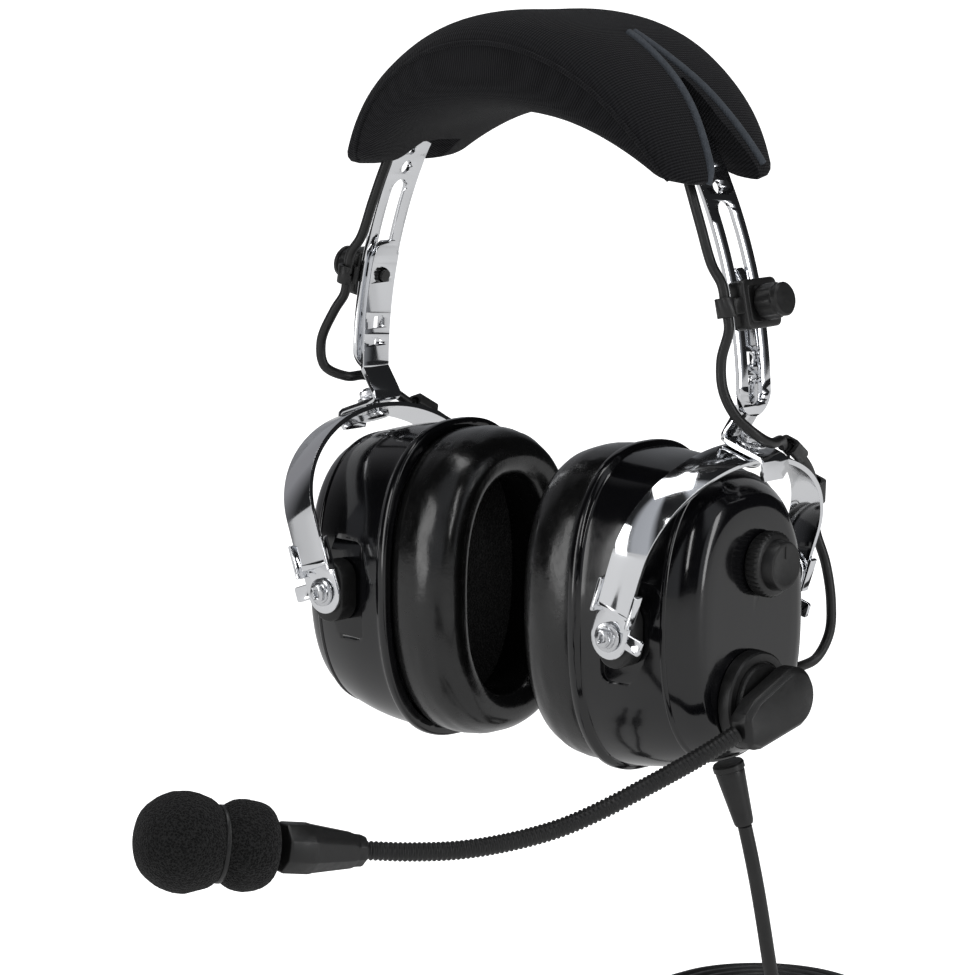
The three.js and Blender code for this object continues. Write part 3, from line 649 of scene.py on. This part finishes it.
def make_pivot_screw(name, sign, end, side):
    origin = Vector((PIVOT.x, 0, PIVOT.z))
    axis = Y * side
    shank = lathe("shank", [(1.8, 35.2), (1.8, 44)], origin, axis, STEEL, 24)
    washer = bevel(lathe("washer", [(4.5, 43.05), (4.5, 43.8)], origin, axis, STEEL, 44), 0.18, 2)
    collar = bevel(lathe("collar", [(3.5, 43.7), (3.3, 44.6)], origin, axis, STEEL, 40), 0.15, 2)
    head = bevel(lathe("head", [(3.1, 44.3), (3.1, 46.0)], origin, axis, STEEL, 6, 20), 0.35, 3)
    socket = lathe("socket", [(1.3, 45.0), (1.3, 47)], origin, axis, DARK, 6, 20)
    boolean(head, socket)
    screw = mirrored(join(f"{name}_{end}_tilt_screw", [shank, washer, collar, head]), sign)
    fit(screw, "bright_steel", f"{name}_stirrup", f"{name}_pivot_screw_{end}")


def make_saddle(name, sign, node, degrees):
    foot = on_arch(degrees, 0)
    normal = (on_arch(degrees, 10) - foot).normalized()
    block = rounded_box(6.8, 4.8, 1.6, 6, 0, 2.9)
    body = prism("saddle", block, foot, LEAN_OUT, normal, -4, 4, MATTE)
    bore = arc(0, CABLE_LIFT, 2.2, 2.2, 0, 360, 28)[:-1]
    boolean(body, prism("bore", bore, foot, LEAN_OUT, normal, -6, 6, DARK))
    bevel(body, 0.35, 2, 50)
    body.name = f"{node}_saddle"
    mirrored(body, sign)
    fit(body, "matte_plastic", f"{name}_stirrup", node)


# ---------- ear cups ----------
def square_ring(x, wide, tall, count=96, exponent=2.5):
    """A superellipse in Y and Z, the outline of a cup."""
    ring = []
    for k in range(count):
        a = 2 * math.pi * k / count
        c, s = math.cos(a), math.sin(a)
        y = wide * math.copysign(abs(c) ** (2 / exponent), c)
        z = tall * math.copysign(abs(s) ** (2 / exponent), s)
        ring.append(Vector((x, y, z)))
    return ring


def profile_curve(points, per_span):
    """A smooth line through a profile's points."""
    out = []
    p = [points[0], *points, points[-1]]
    for i in range(1, len(p) - 2):
        for k in range(per_span):
            t = k / per_span
            point = []
            for a, b, c, d in zip(p[i - 1], p[i], p[i + 1], p[i + 2]):
                m0, m1 = (c - a) / 2, (d - b) / 2
                h = t * t * (3 - 2 * t)
                point.append(b + (c - b) * h + m0 * t * (1 - t) ** 2 - m1 * t * t * (1 - t))
            out.append(tuple(point))
    out.append(tuple(points[-1]))
    return out


def make_ear_cup(name, sign):
    front = [(FACE_X, 0.2, 0.3), (FACE_X, 10, 16), (FACE_X, 19, 29), (FACE_X, 22.4, 34.2)]
    front += [(79.75, 24.4, 36.2)]
    dome = [(78.8, 26.5, 38.4), (75, 30, 41.8), (68, 32.4, 45), (56, 34.6, 48), (42.2, 35.6, 49.6)]
    flange = [(41.3, 35.7, 49.7), (40.8, 36.1, 50.2), (40.3, 36.8, 51.0), (39.6, 37.0, 51.4)]
    flange += [(37.9, 37.0, 51.4), (37.4, 36.7, 51.1), (37.2, 36.2, 50.6)]
    inside = [(37.2, 33.4, 47.9), (40.0, 32.6, 46.6), (56, 31.2, 44.6), (68, 29, 41.6)]
    inside += [(76.6, 25, 36), (76.6, 0.2, 0.3)]
    profile = front + profile_curve(dome, 6) + flange + inside
    rings = [square_ring(x, w, h, 120) for x, w, h in profile]
    shell = loft(f"{name}_cup_shell", rings, GLOSS, sharp=50)
    for side in (-1, 1):
        outline = rounded_box(19, 32, 3.2, 6, PIVOT.x, PIVOT.z)
        low, high = (33, 41.2) if side < 0 else (-41.2, -33)
        boolean(shell, prism("pocket", outline, Vector((0, 0, 0)), X, Z, low, high, GLOSS))
    if sign > 0:
        boolean(shell, lathe("bore", [(3.6, 74), (3.6, 84)], KNOB_CENTRE, X, GLOSS, 32))
    bevel(shell, 0.5, 3, 38, 40)
    mirrored(shell, sign)
    fit(shell, "gloss_plastic", f"{name}_cup", f"{name}_ear_cup")


def make_cup_trim(name, sign):
    """The raised seam of the outer cover."""
    profile = [(69.5, 32.1, 44.5), (69.9, 32.32, 44.72), (70.9, 32.05, 44.45)]
    profile += [(71.3, 31.5, 43.9), (71.0, 30.6, 43.0), (69.6, 30.8, 43.2)]
    rings = [square_ring(x, w, h, 120) for x, w, h in profile]
    trim = loft(f"{name}_cover_seam", rings, GLOSS, closed=True, sharp=60)
    mirrored(trim, sign)
    fit(trim, "gloss_plastic", f"{name}_cup")


def make_hinge_block(name, sign, end, side):
    low, high = (33.4, 40.7) if side < 0 else (-40.7, -33.4)
    block = prism("hinge", stadium(12.4, -10, 10, 16), PIVOT, X, Z, low, high, MATTE)
    near, far = (34.6, 45) if side < 0 else (-45, -34.6)
    bore = arc(0, 0, 2.1, 2.1, 0, 360, 24)[:-1]
    boolean(block, prism("bore", bore, PIVOT, X, Z, near, far, DARK))
    bevel(block, 0.7, 3)
    block.name = f"{name}_{end}_hinge"
    mirrored(block, sign)
    fit(block, "matte_plastic", f"{name}_cup", f"{name}_hinge_block_{end}")


def make_ear_seal(name, sign):
    """A fluid-filled cushion: a full round ring with shallow creases where the skin turns."""
    outer = [(36.9, 33.6, 48), (34, 34.6, 49.1), (29, 35.1, 49.5), (24, 34.9, 49.1)]
    outer += [(19, 33.4, 47.5), (15.4, 30.9, 45)]
    face = [(13.8, 27.6, 41.9), (13.9, 24.6, 38.8), (15.6, 22.0, 36.1)]
    inner = [(18.6, 20.5, 34.5), (24, 20.2, 34.1), (31, 22.2, 36.2), (36.9, 25, 39)]
    rings = []
    for x, w, h in profile_curve(outer + face + inner, 4):
        ring = square_ring(x, w, h, 144, 2.35)
        for p in ring:
            middle = max(0.0, 1 - abs(x - 22) / 15)
            swell = noise.noise(Vector((p.x * 0.04, p.y * 0.05, p.z * 0.05 + 7 * sign)))
            crease = noise.noise(Vector((p.x * 0.34, p.y * 0.10, p.z * 0.10 + 3)))
            depth = middle * (0.35 * swell + 0.25 * crease)
            p.y += depth * p.y / 40
            p.z += depth * p.z / 45
            p.x = max(13.75, p.x + 0.35 * middle * swell)
        rings.append(ring)
    seal = loft(f"{name}_seal_cushion", rings, VINYL, caps=False, closed=True, sharp=60)
    mirrored(seal, sign)
    fit(seal, "seal_vinyl", f"{name}_cup", f"{name}_ear_seal")


def make_ear_foam(name, sign):
    profile = [(40.6, 0.2, 0.3), (40.6, 29.6, 43.8), (40.2, 30.2, 44.4), (38, 30.2, 44.4)]
    profile += [(37.4, 29.6, 43.8), (37.4, 15, 24), (37.4, 0.2, 0.3)]
    rings = [square_ring(x, w, h, 72) for x, w, h in profile]
    for ring in rings:
        for p in ring:
            p.x += 0.25 * noise.noise(p * 0.12)
    pad = mirrored(loft(f"{name}_inner_foam", rings, FOAM, sharp=70), sign)
    fit(pad, "acoustic_foam", f"{name}_cup", f"{name}_ear_foam")


# ---------- head pad ----------
PAD_REACH = 77.0
PAD_END = 21.0
PAD_INNER_END = 55.5


def pad_section(degrees, grow=1.0):
    """A ring of points round the pad at an angle of its outer arc."""
    share = (degrees - PAD_END) / (180 - 2 * PAD_END)
    a = math.radians(degrees)
    b = math.radians(PAD_INNER_END + (180 - 2 * PAD_INNER_END) * share)
    outer = Vector((PAD_REACH * math.cos(a), 0, CROWN_Z + PAD_OUTER_RADIUS * math.sin(a)))
    inner = Vector((math.cos(b), 0, math.sin(b))) * PAD_INNER_RADIUS + Z * PAD_INNER_Z
    near_end = abs(2 * share - 1)
    depth = PAD_HALF_DEPTH - 13.0 * near_end**2.2
    middle, half = (outer + inner) / 2, (outer - inner) / 2
    ring = []
    for k in range(72):
        t = 2 * math.pi * k / 72
        c, s = math.cos(t), math.sin(t)
        across = depth * math.copysign(abs(c) ** 0.62, c)
        lift = math.copysign(abs(s) ** 0.62, s)
        across *= 0.25 + 0.75 * grow if grow < 1 else 1
        p = middle + half * (lift * grow) + Y * (BAND_Y + across)
        lumps = noise.noise(Vector((p.x * 0.035, p.y * 0.04, p.z * 0.035)))
        puff = -0.9 + 0.9 * lumps
        centre = Vector((middle.x, BAND_Y, middle.z))
        ring.append(p + (p - centre).normalized() * puff * 0.8)
    return ring


def make_headpad():
    end = PAD_END
    rings = []
    tips = ((0.3, 0.35), (0.7, 0.68), (1.6, 0.88), (3.0, 0.97))
    for step, grow in tips:
        rings.append(pad_section(end + step, grow))
    count = 84
    for i in range(count + 1):
        rings.append(pad_section(end + 4.6 + (180 - 2 * end - 9.2) * i / count))
    for step, grow in reversed(tips):
        rings.append(pad_section(180 - end - step, grow))
    pad = loft("crown_pad", rings, KNIT, sharp=70)
    for sign in (-1, 1):
        rear_edge = [(20, 124), (12.5, 140), (6.4, 151), (3, 163)]
        front_edge = [(0.8, 163), (-2.2, 151), (-5.6, 140), (-8.5, 124)]
        low, high = (48, 90) if sign > 0 else (-90, -48)
        boolean(pad, x_prism("notch", rear_edge + front_edge, low, high))
    bevel(pad, 0.9, 3, 50, 60)
    fit(pad, "knit_fabric", "headband", "headpad")


def surface_point(pad_tree, y, degrees):
    """Where a line towards the crown's centre meets the pad."""
    a = math.radians(degrees)
    start = Vector((100 * math.cos(a), y, CROWN_Z + 100 * math.sin(a))) * MM
    toward = Vector((-math.cos(a), 0, -math.sin(a)))
    hit = pad_tree.ray_cast(start, toward)
    return hit[0] / MM if hit[0] else None


def make_pad_binding(tree):
    """The bound edges of the two flaps at each end of the pad."""
    parts = []
    for sign in (-1, 1):
        for flap in (-1, 1):
            widest = 16.5 if flap > 0 else 10.0
            points = []
            for i in range(15):
                degrees = 24.0 + 44.0 * i / 14
                spread = widest * (1 - i / 14) ** 1.6
                angle = degrees if sign > 0 else 180 - degrees
                p = surface_point(tree, BAND_Y + flap * (1.4 + spread), angle)
                if p:
                    points.append(p)
            if len(points) >= 4:
                parts.append(tube("binding", points, round_section(2.8, 12), BINDING, 1.0)[0])
    trim = join("pad_edge_binding", parts)
    fit(trim, "binding_tape", "headband")


def make_pad_seam(tree, name, side):
    """The arched seam of the front or the rear face."""
    points = []
    for i in range(33):
        a = math.radians(30 + 120 * i / 32)
        radius = 73.5 - 2.0 * math.cos(2 * a)
        p = Vector((radius * math.cos(a), 0, CROWN_Z - 4 + radius * math.sin(a)))
        hit = tree.ray_cast((p + Y * side * 60) * MM, -Y * side)
        if hit[0]:
            points.append(hit[0] / MM)
    if len(points) > 4:
        seam = tube(f"pad_{name}_seam", points, round_section(1.7, 10), KNIT, 1.5)[0]
        fit(seam, "knit_fabric", "headband")


def make_pad_trim():
    bm = bmesh.new()
    bm.from_mesh(bpy.data.objects["crown_pad"].data)
    tree = BVHTree.FromBMesh(bm)
    bm.free()
    make_pad_binding(tree)
    make_pad_seam(tree, "front", -1)
    make_pad_seam(tree, "rear", 1)


# ---------- controls and boom ----------
def make_volume_knob():

    def knurl(a, height, radius):
        return 0.22 * math.cos(36 * a) if 80.9 < height < 84.6 and radius > 9 else 0.0

    profile = [(3.0, 75.2), (3.0, 80.3), (9.6, 80.3), (9.9, 80.9), (9.95, 81.4), (9.95, 84.2)]
    profile += [(9.6, 84.8), (8.9, 85.2), (0.0, 85.3)]
    base = lathe("base", profile, KNOB_CENTRE, X, MATTE, 216, 40, knurl)
    profile = [(7.9, 85.0), (7.8, 85.6), (7.55, 88.2), (7.2, 88.8), (6.4, 89.0), (5.8, 88.8)]
    cap = lathe("cap", profile + [(0.0, 88.7)], KNOB_CENTRE, X, MATTE, 72, 40)
    line = rounded_box(0.9, 4.6, 0.4, 4, KNOB_CENTRE.y, KNOB_CENTRE.z + 4.4)
    mark = prism("mark", line, Vector((0, 0, 0)), Y, Z, 88.5, 89.05, STEEL)
    bevel(mark, 0.1, 1)
    knob = join("volume_grip", [base, cap, mark])
    fit(knob, "matte_plastic", "volume_knob", "volume_knob")


def make_boom_base():
    disc = [(15.2, 80.3), (15.4, 80.8), (15.0, 84.0), (14.4, 84.6), (12.2, 84.6), (12.0, 84.2)]
    boss = [(11.7, 84.2), (11.6, 85.6), (11.1, 86.2), (4.3, 86.2), (4.3, 80.3)]
    base = lathe("boom_ring", disc + boss, BOOM_CENTRE, X, MATTE, 96, 35)
    fit(base, "matte_plastic", "left_cup", "boom_base")


def make_boom_arm():
    round_end = arc(6, 1, 9.6, 9.6, -70, 110, 28)
    neck_end = [(-13.5, 3.4), (-19, -1.4), (-17.4, -10.6), (-12, -12.4)]
    body = prism("arm", round_end + neck_end, BOOM_CENTRE, Y, Z, 86.6, 94.6, MATTE)
    bevel(body, 1.7, 1, 25, 20)
    bevel(body, 0.3, 2, 20, 30)
    stub = lathe("stub", [(4.0, 81), (4.0, 87.4)], BOOM_CENTRE, X, MATTE, 32)
    arm = join("boom_swing_arm", [body, stub])
    fit(arm, "matte_plastic", "boom", "boom_arm")


GOOSENECK_ROUTE = [
    (90.4, -21.6, -30.4), (88.6, -26.6, -32.8), (85.6, -34.4, -36.4), (79, -53, -43.6),
    (73, -64.4, -48.8), (67, -75.6, -52.9), (60, -90, -55.5), (53, -104.2, -56.4),
    (46, -118.2, -55.5), (39.6, -130, -53.9),
]


def make_gooseneck():
    """A spirally ribbed tube."""

    def ribbed(distance):
        radius = GOOSENECK / 2 - 0.26 + 0.26 * math.cos(2 * math.pi * distance / 1.5)
        return arc(0, 0, radius, radius, 0, 360, 22)[:-1]

    neck = tube("ribbed_gooseneck", GOOSENECK_ROUTE, ribbed, CABLE, 0.25, sharp=75)[0]
    fit(neck, "cable_rubber", "boom", "gooseneck")


def make_mic_housing():
    start, end = Vector((39.2, -131, -53.8)), Vector((30, -156, -49.6))
    along = (end - start).normalized()
    length = (end - start).length
    profile = [(4.2, 0), (4.8, 0.5), (5.0, 3.0), (5.5, 4.2), (7.3, length * 0.62)]
    profile += [(7.7, length * 0.68), (7.7, length - 0.6), (7.2, length)]
    side = along.cross(Z).normalized()
    up = side.cross(along)
    rings = []
    for radius, height in profile:
        ring = []
        for k in range(8):
            a = math.radians(22.5 + 45 * k)
            outward = side * math.cos(a) * 0.96 + up * math.sin(a)
            ring.append(start + along * height + outward * radius)
        rings.append(ring)
    housing = loft("mic_capsule_housing", rings, MATTE, sharp=15)
    bevel(housing, 0.35, 2, 12, 20)
    fit(housing, "matte_plastic", "boom", "mic_housing")


def make_wind_muff():
    """Two lobes of foam with a thin band in the groove between them."""
    origin, far = Vector((29.7, -156.8, -49.5)), Vector((13, -184, -45.4))
    axis = (far - origin).normalized()
    points = [(0.1, 0.3), (7.4, 0.7), (11.4, 3.4), (13.1, 8.6), (12.8, 12.8), (11.2, 15.8)]
    points += [(10.7, 17.0), (11.2, 18.2), (13.0, 21.0), (14.4, 27), (13.4, 33.4), (9.2, 39)]
    points += [(4.6, 41.2), (0.1, 41.8)]

    def cells(a, height, radius):
        p = Vector((math.cos(a) * radius, math.sin(a) * radius, height))
        return 0.16 * noise.noise(p * 1.6) + 0.3 * noise.noise(p * 0.16) if radius > 1 else 0.0

    foam = lathe("mic_wind_muff", profile_curve(points, 6), origin, axis, FOAM, 140, 80, cells)
    fit(foam, "acoustic_foam", "boom", "mic_windscreen")
    profile = [(10.4, 16.1), (11.25, 16.3), (11.25, 17.7), (10.4, 17.9)]
    ring = lathe("muff_band", profile, origin, axis, CABLE, 72)
    bevel(ring, 0.25, 2)
    fit(ring, "cable_rubber", "boom")


# ---------- crossover cable ----------
def crossover_routes(sign):
    """Each span's points on the left side: down from the pad, to the stirrup, into the cup."""
    crown = [(59.8, -8.5, 135.4), (62.2, -9, 130), (66.4, -9.6, 119.8), (71, -10, 108.4)]
    crown += [on_arm(CABLE_RADIUS, 14.4, CABLE_Y), on_arm(CABLE_RADIUS, 12, CABLE_Y)]
    upper = [on_arm(CABLE_RADIUS, 11.7, CABLE_Y), on_arm(CABLE_RADIUS, 9.4, CABLE_Y)]
    if sign > 0:
        upper += [(75.4, -10.6, 80), (76.2, -10.6, 71), (79.8, -9, 63.4), (84.4, -4.6, 57.6)]
        upper += [(84.8, 2, 54.6), (82.6, 9.6, 54.4)]
    else:
        upper += [(81, -12, 84.2), (87, -12, 73.4), (86.4, -11, 65.4), (81.6, -6, 62)]
        upper += [(80.4, 2, 61.6), (79, 10, 57.4)]
    upper += [on_arch(66, CABLE_LIFT)]
    lower = [on_arch(a, CABLE_LIFT) for a in (64.5, 56, 47, 38, 29, 20, 11)]
    lower += [(67.6, 49, 20), (70.4, 50.6, 10), (72.4, 51, -2), (72.6, 50, -12)]
    lower += [(71.4, 45, -19.4), (70.2, 38.6, -21.2), (70, 33.4, -21.2)]
    return crown, upper, lower


def make_crossover(name, sign):
    """Three spans, each a tube swept along a fixed route between the two parts that it joins."""
    headband, slider = "headband", f"{name}_slider"
    stirrup, cup = f"{name}_stirrup", f"{name}_cup"
    spans = (("crown", headband, slider, 1, -2), ("upper", slider, stirrup, 3, -2))
    spans += (("lower", stirrup, cup, 5, -3),)
    for (part, a, b, first, last), points in zip(spans, crossover_routes(sign)):
        route = [Vector(p) * Vector((sign, 1, 1)) for p in points]
        cable = tube(f"{name}_link_cable_{part}", route, round_section(CROSSOVER, 16), CABLE, 1.0)[0]
        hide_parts(f"{name}_crossover_{part}")
        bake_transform(cable)


# ---------- communication cord ----------
def make_strain_relief():
    top, end = Vector((66, 6.6, -47.2)), Vector((69.4, 11, -67))
    axis = (end - top).normalized()
    length = (end - top).length
    profile = [(4.6, 0), (5.0, 0.6), (5.0, 2.2), (4.5, 2.6), (4.6, 3.2)]
    profile += [(4.6 - 1.5 * k / 12, 3.2 + (length - 4.0) * k / 12) for k in range(1, 13)]
    profile += [(2.8, length)]
    relief = lathe("cord_strain_relief", profile, top, axis, CABLE, 48, 30)
    fit(relief, "cable_rubber", "left_cup", "strain_relief")


CORD_ROUTE = [
    (69.5, 11.1, -67.6), (70.4, 12.9, -76), (71, 15.6, -87), (70.9, 19, -99), (70.4, 22.4, -110),
    (69.6, 26, -120), (68.6, 30.4, -130), (67.4, 36.4, -138.6), (66.4, 43, -143.6),
    (65.8, 49, -146), (65.5, 54, -146.8),
]
TAIL_ROUTE = [
    (-2.6, 53.4, -142.2), (-3.4, 45, -143), (-4.8, 36, -144.8), (-6, 28, -146.1),
    (-6.6, 22.2, -146.6),
]
COIL_CENTRE = Vector((31.5, 72, -149.1))
COIL_RADIUS = 27


def coil_points():
    """Four turns inward on the floor, then four outward on top of them."""
    points = []
    steps = 20
    total = round(7.5 * steps)
    for i in range(total + 1):
        turns = i / steps
        layer = 0 if turns < 4 else 1
        place = turns if layer == 0 else turns - 4
        slot = min(3, int(place))
        slide = max(0.0, (place - slot - 0.8) / 0.2)
        slide = slide * slide * (3 - 2 * slide)
        at = min(3.0, slot + slide)
        radius = COIL_RADIUS - 1.5 * CORD + CORD * (3 - at if layer == 0 else at)
        rise = max(0.0, min(1.0, (turns - 3.86) / 0.28))
        height = CORD / 2 + CORD * rise * rise * (3 - 2 * rise)
        a = 2 * math.pi * turns
        points.append(COIL_CENTRE + Vector((radius * math.cos(a), radius * math.sin(a), height)))
    return points


def make_cord():
    """A slightly flattened cord, from the strain relief to the junction."""
    route = [Vector(p) for p in CORD_ROUTE] + coil_points() + [Vector(p) for p in TAIL_ROUTE]

    ring = []
    for k in range(20):
        a = 2 * math.pi * k / 20
        radius = CORD / 2 * (1 - 0.10 * abs(math.sin(a)) ** 3)
        ring.append((radius * math.cos(a), radius * math.sin(a)))
    cable, path = tube("communication_cord", route, lambda distance: ring, CABLE, 1.5, X)
    length = sum((b - a).length for a, b in zip(path, path[1:]))
    fit(cable, "cable_rubber", "left_cup", "cord_tube", "cord_coil", "cord_tail")
    return cable, path, length


def make_tie():
    turn = math.radians(-52)
    along = Vector((math.cos(turn), math.sin(turn), 0))
    strap = rounded_box(21.6, 11.4, 1.6, 5, COIL_RADIUS, 4.7)
    hollow = rounded_box(19.8, 9.9, 0.8, 4, COIL_RADIUS, 4.65)
    outer = prism("tie", strap, COIL_CENTRE, along, Z, -4, 4, MATTE)
    inner = prism("gap", hollow, COIL_CENTRE, along, Z, -5, 5, DARK)
    boolean(outer, inner)
    bevel(outer, 0.25, 2, 50)
    outer.name = "cord_hook_tie"
    fit(outer, "matte_plastic", "left_cup", "coil_tie")


def make_splitter():
    length = 24.6
    outline = [(-3.4, length), (-7, length - 9)]
    outline += arc(-5, 2, 2, 2, 180, 270, 6) + arc(5, 2, 2, 2, 270, 360, 6)
    outline += [(7, length - 9), (3.4, length)]
    body = prism("cord_junction", outline, Vector((-6.6, -3, -150)), X, Y, 0.05, 6.6, CABLE)
    bevel(body, 1.4, 4, 30, 40)
    fit(body, "cable_rubber", "left_cup", "cord_splitter")
    return body


def lead_points(side):
    low = FLOOR_Z + LEAD / 2
    offsets = ((4, -3.4, low + 1.4), (4.6, -13, low + 0.5), (6.4, -27, low), (9.2, -41, low))
    offsets += ((11, -55, low), (11.4, -66, low + 1.8), (11.4, -75, -144.5), (11.4, -83, -144.2))
    return [Vector((-6.6 + side * x, y, z)) for x, y, z in offsets]


def make_lead(name, node, side):
    cable, path = tube(name, lead_points(side), round_section(LEAD, 16), CABLE, 1.2)
    length = sum((b - a).length for a, b in zip(path, path[1:]))
    fit(cable, "cable_rubber", "left_cup", node)
    return cable, path, length


def make_plug(name, node, side, pin, pin_length):
    origin = Vector((-6.6 + side * 11.4, -83.5, -144.2))
    axis = -Y
    relief = [(2.3, 0), (2.6, 0.3)]
    for k in range(6):
        for radius, height in ((2.7, 0.8), (2.35, 1.3), (2.75, 2.0)):
            relief.append((radius + 0.12 * k, height + 1.6 * k))
    handle = [(3.4, 10.4), (5.4, 11.8), (5.8, 12.8), (5.8, 31.6), (5.3, 32.6), (5.0, 34.0)]
    grip = lathe("grip", relief + handle, origin, axis, CABLE, 64, 30)
    end = 34 + pin_length
    metal = [(pin, 33.0)]
    for ring in (end - 17, end - 8.6):
        metal += [(pin, ring), (pin * 0.9, ring + 0.2), (pin * 0.9, ring + 1.0), (pin, ring + 1.2)]
    metal += [(pin, end - 5), (pin * 0.62, end - 3.6), (pin * 0.86, end - 2.2)]
    metal += [(pin * 0.7, end - 0.9), (0.0, end)]
    tip = lathe("tip", metal, origin, axis, PLUG, 48, 30)
    plug = join(name, [grip, tip])
    fit(plug, "plug_metal", "left_cup", node)
    return plug


def make_cord_set():
    cable, path, length = make_cord()
    splitter = make_splitter()
    plugs = (("phones", "headphone", -1, 3.17, 31), ("voice", "microphone", 1, 2.62, 30))
    for label, node, side, pin, pin_length in plugs:
        plug = make_plug(f"{label}_jack", f"{node}_plug", side, pin, pin_length)
        lead, route, lead_length = make_lead(f"{label}_lead", f"{node}_lead", side)
    make_tie()


# ---------- stage ----------
def make_floor():
    n = Nodes("pale_floor")
    n.set(Base_Color=(0.3, 0.3, 0.3, 1.0), Roughness=0.85)
    rays = n.add("ShaderNodeLightPath")
    glow = n.math("MULTIPLY_ADD", rays.outputs["Is Camera Ray"], 0.85)
    n.set(Emission_Color=(1.0, 1.0, 1.0, 1.0), Emission_Strength=glow)
    corners = [(-6000, -6000, FLOOR_Z), (6000, -6000, FLOOR_Z), (6000, 9000, FLOOR_Z)]
    corners.append((-6000, 9000, FLOOR_Z))
    floor = piece("floor", corners, [(0, 1, 2, 3)], n.material)


def make_world():
    """Bright all round, with dark bands that show in the chrome and gloss."""
    world = bpy.data.worlds.new("studio")
    bpy.context.scene.world = world
    world.use_nodes = True
    tree = world.node_tree
    background = tree.nodes["Background"]
    place = tree.nodes.new("ShaderNodeTexCoord")
    split = tree.nodes.new("ShaderNodeSeparateXYZ")
    tree.links.new(place.outputs["Generated"], split.inputs[0])
    turn = tree.nodes.new("ShaderNodeMath")
    turn.operation = "ARCTAN2"
    tree.links.new(split.outputs["Y"], turn.inputs[0])
    tree.links.new(split.outputs["X"], turn.inputs[1])
    span = tree.nodes.new("ShaderNodeMapRange")
    span.inputs["From Min"].default_value = -math.pi
    span.inputs["From Max"].default_value = math.pi
    tree.links.new(turn.outputs[0], span.inputs["Value"])
    ramp = tree.nodes.new("ShaderNodeValToRGB")
    tree.links.new(span.outputs[0], ramp.inputs["Fac"])
    stops = ((0.0, 0.3), (0.08, 0.02), (0.20, 0.02), (0.23, 0.45), (0.29, 0.5), (0.32, 0.015))
    stops += ((0.44, 0.02), (0.47, 0.55), (0.55, 0.5), (0.59, 0.02), (0.80, 0.015), (0.86, 0.35))
    stops += ((0.95, 0.3),)
    elements = ramp.color_ramp.elements
    elements[0].position, elements[1].position = stops[0][0], stops[-1][0]
    elements[0].color = (stops[0][1], stops[0][1], stops[0][1] * 1.05, 1)
    elements[1].color = (stops[-1][1], stops[-1][1], stops[-1][1] * 1.05, 1)
    for position, value in stops[1:-1]:
        element = elements.new(position)
        element.color = (value * 0.97, value, value * 1.06, 1)
    rays = tree.nodes.new("ShaderNodeLightPath")
    mix = tree.nodes.new("ShaderNodeMix")
    mix.data_type = "RGBA"
    tree.links.new(rays.outputs["Is Camera Ray"], mix.inputs["Factor"])
    tree.links.new(ramp.outputs["Color"], mix.inputs[6])
    mix.inputs[7].default_value = (1.6, 1.6, 1.6, 1)
    tree.links.new(mix.outputs[2], background.inputs["Color"])
    background.inputs["Strength"].default_value = 0.85


def add_light(name, place, target, power, width, height):
    data = bpy.data.lights.new(name, "AREA")
    data.shape = "RECTANGLE"
    data.size, data.size_y = width, height
    data.energy = power
    light = bpy.data.objects.new(name, data)
    bpy.context.scene.collection.objects.link(light)
    light.location = Vector(place)
    light.rotation_euler = (Vector(target) - Vector(place)).to_track_quat("-Z", "Y").to_euler()


def make_lights():
    add_light("tall_softbox", (1.35, 0.25, 0.45), (0.05, 0, 0), 5, 0.30, 1.2)
    add_light("front_softbox", (-0.55, -1.45, 0.35), (0, 0, 0.02), 5, 0.45, 1.1)
    add_light("overhead", (0.1, -0.1, 1.4), (0, 0, 0), 5, 0.8, 0.6)
    add_light("near_strip", (1.0, -1.1, 0.75), (0, -0.05, 0), 3, 0.18, 0.9)


def make_camera():
    data = bpy.data.cameras.new("view")
    data.lens = 151.1
    data.sensor_width = 36
    data.clip_start, data.clip_end = 0.05, 50
    camera = bpy.data.objects.new("view", data)
    bpy.context.scene.collection.objects.link(camera)
    bpy.context.scene.view_settings.view_transform = "Standard"
    camera.location = Vector((815.54, -978.59, 228.76)) * MM
    target = Vector((-26.06, 0, 30.16)) * MM
    camera.rotation_euler = (target - camera.location).to_track_quat("-Z", "Y").to_euler()
    bpy.context.scene.camera = camera


# ---------- build ----------
def build():
    make_headband()
    make_headpad()
    make_pad_trim()
    for name, sign in SIDES:
        make_slider(name, sign)
        make_clamp(name, sign)
        make_swivel_bolt(name, sign)
        make_stirrup(name, sign)
        for end, side in (("front", -1), ("rear", 1)):
            make_bracket(name, sign, end, side)
            make_pivot_screw(name, sign, end, side)
            make_hinge_block(name, sign, end, side)
        make_saddle(name, sign, f"{name}_stirrup_clip_top", 58)
        make_ear_cup(name, sign)
        make_cup_trim(name, sign)
        make_ear_seal(name, sign)
        make_ear_foam(name, sign)
        make_crossover(name, sign)
    make_saddle("left", 1, "left_stirrup_clip_rear", 22)
    make_volume_knob()
    make_boom_base()
    make_boom_arm()
    make_gooseneck()
    make_mic_housing()
    make_wind_muff()
    make_strain_relief()
    make_cord_set()
    make_floor()
    make_world()
    make_lights()
    make_camera()


build()
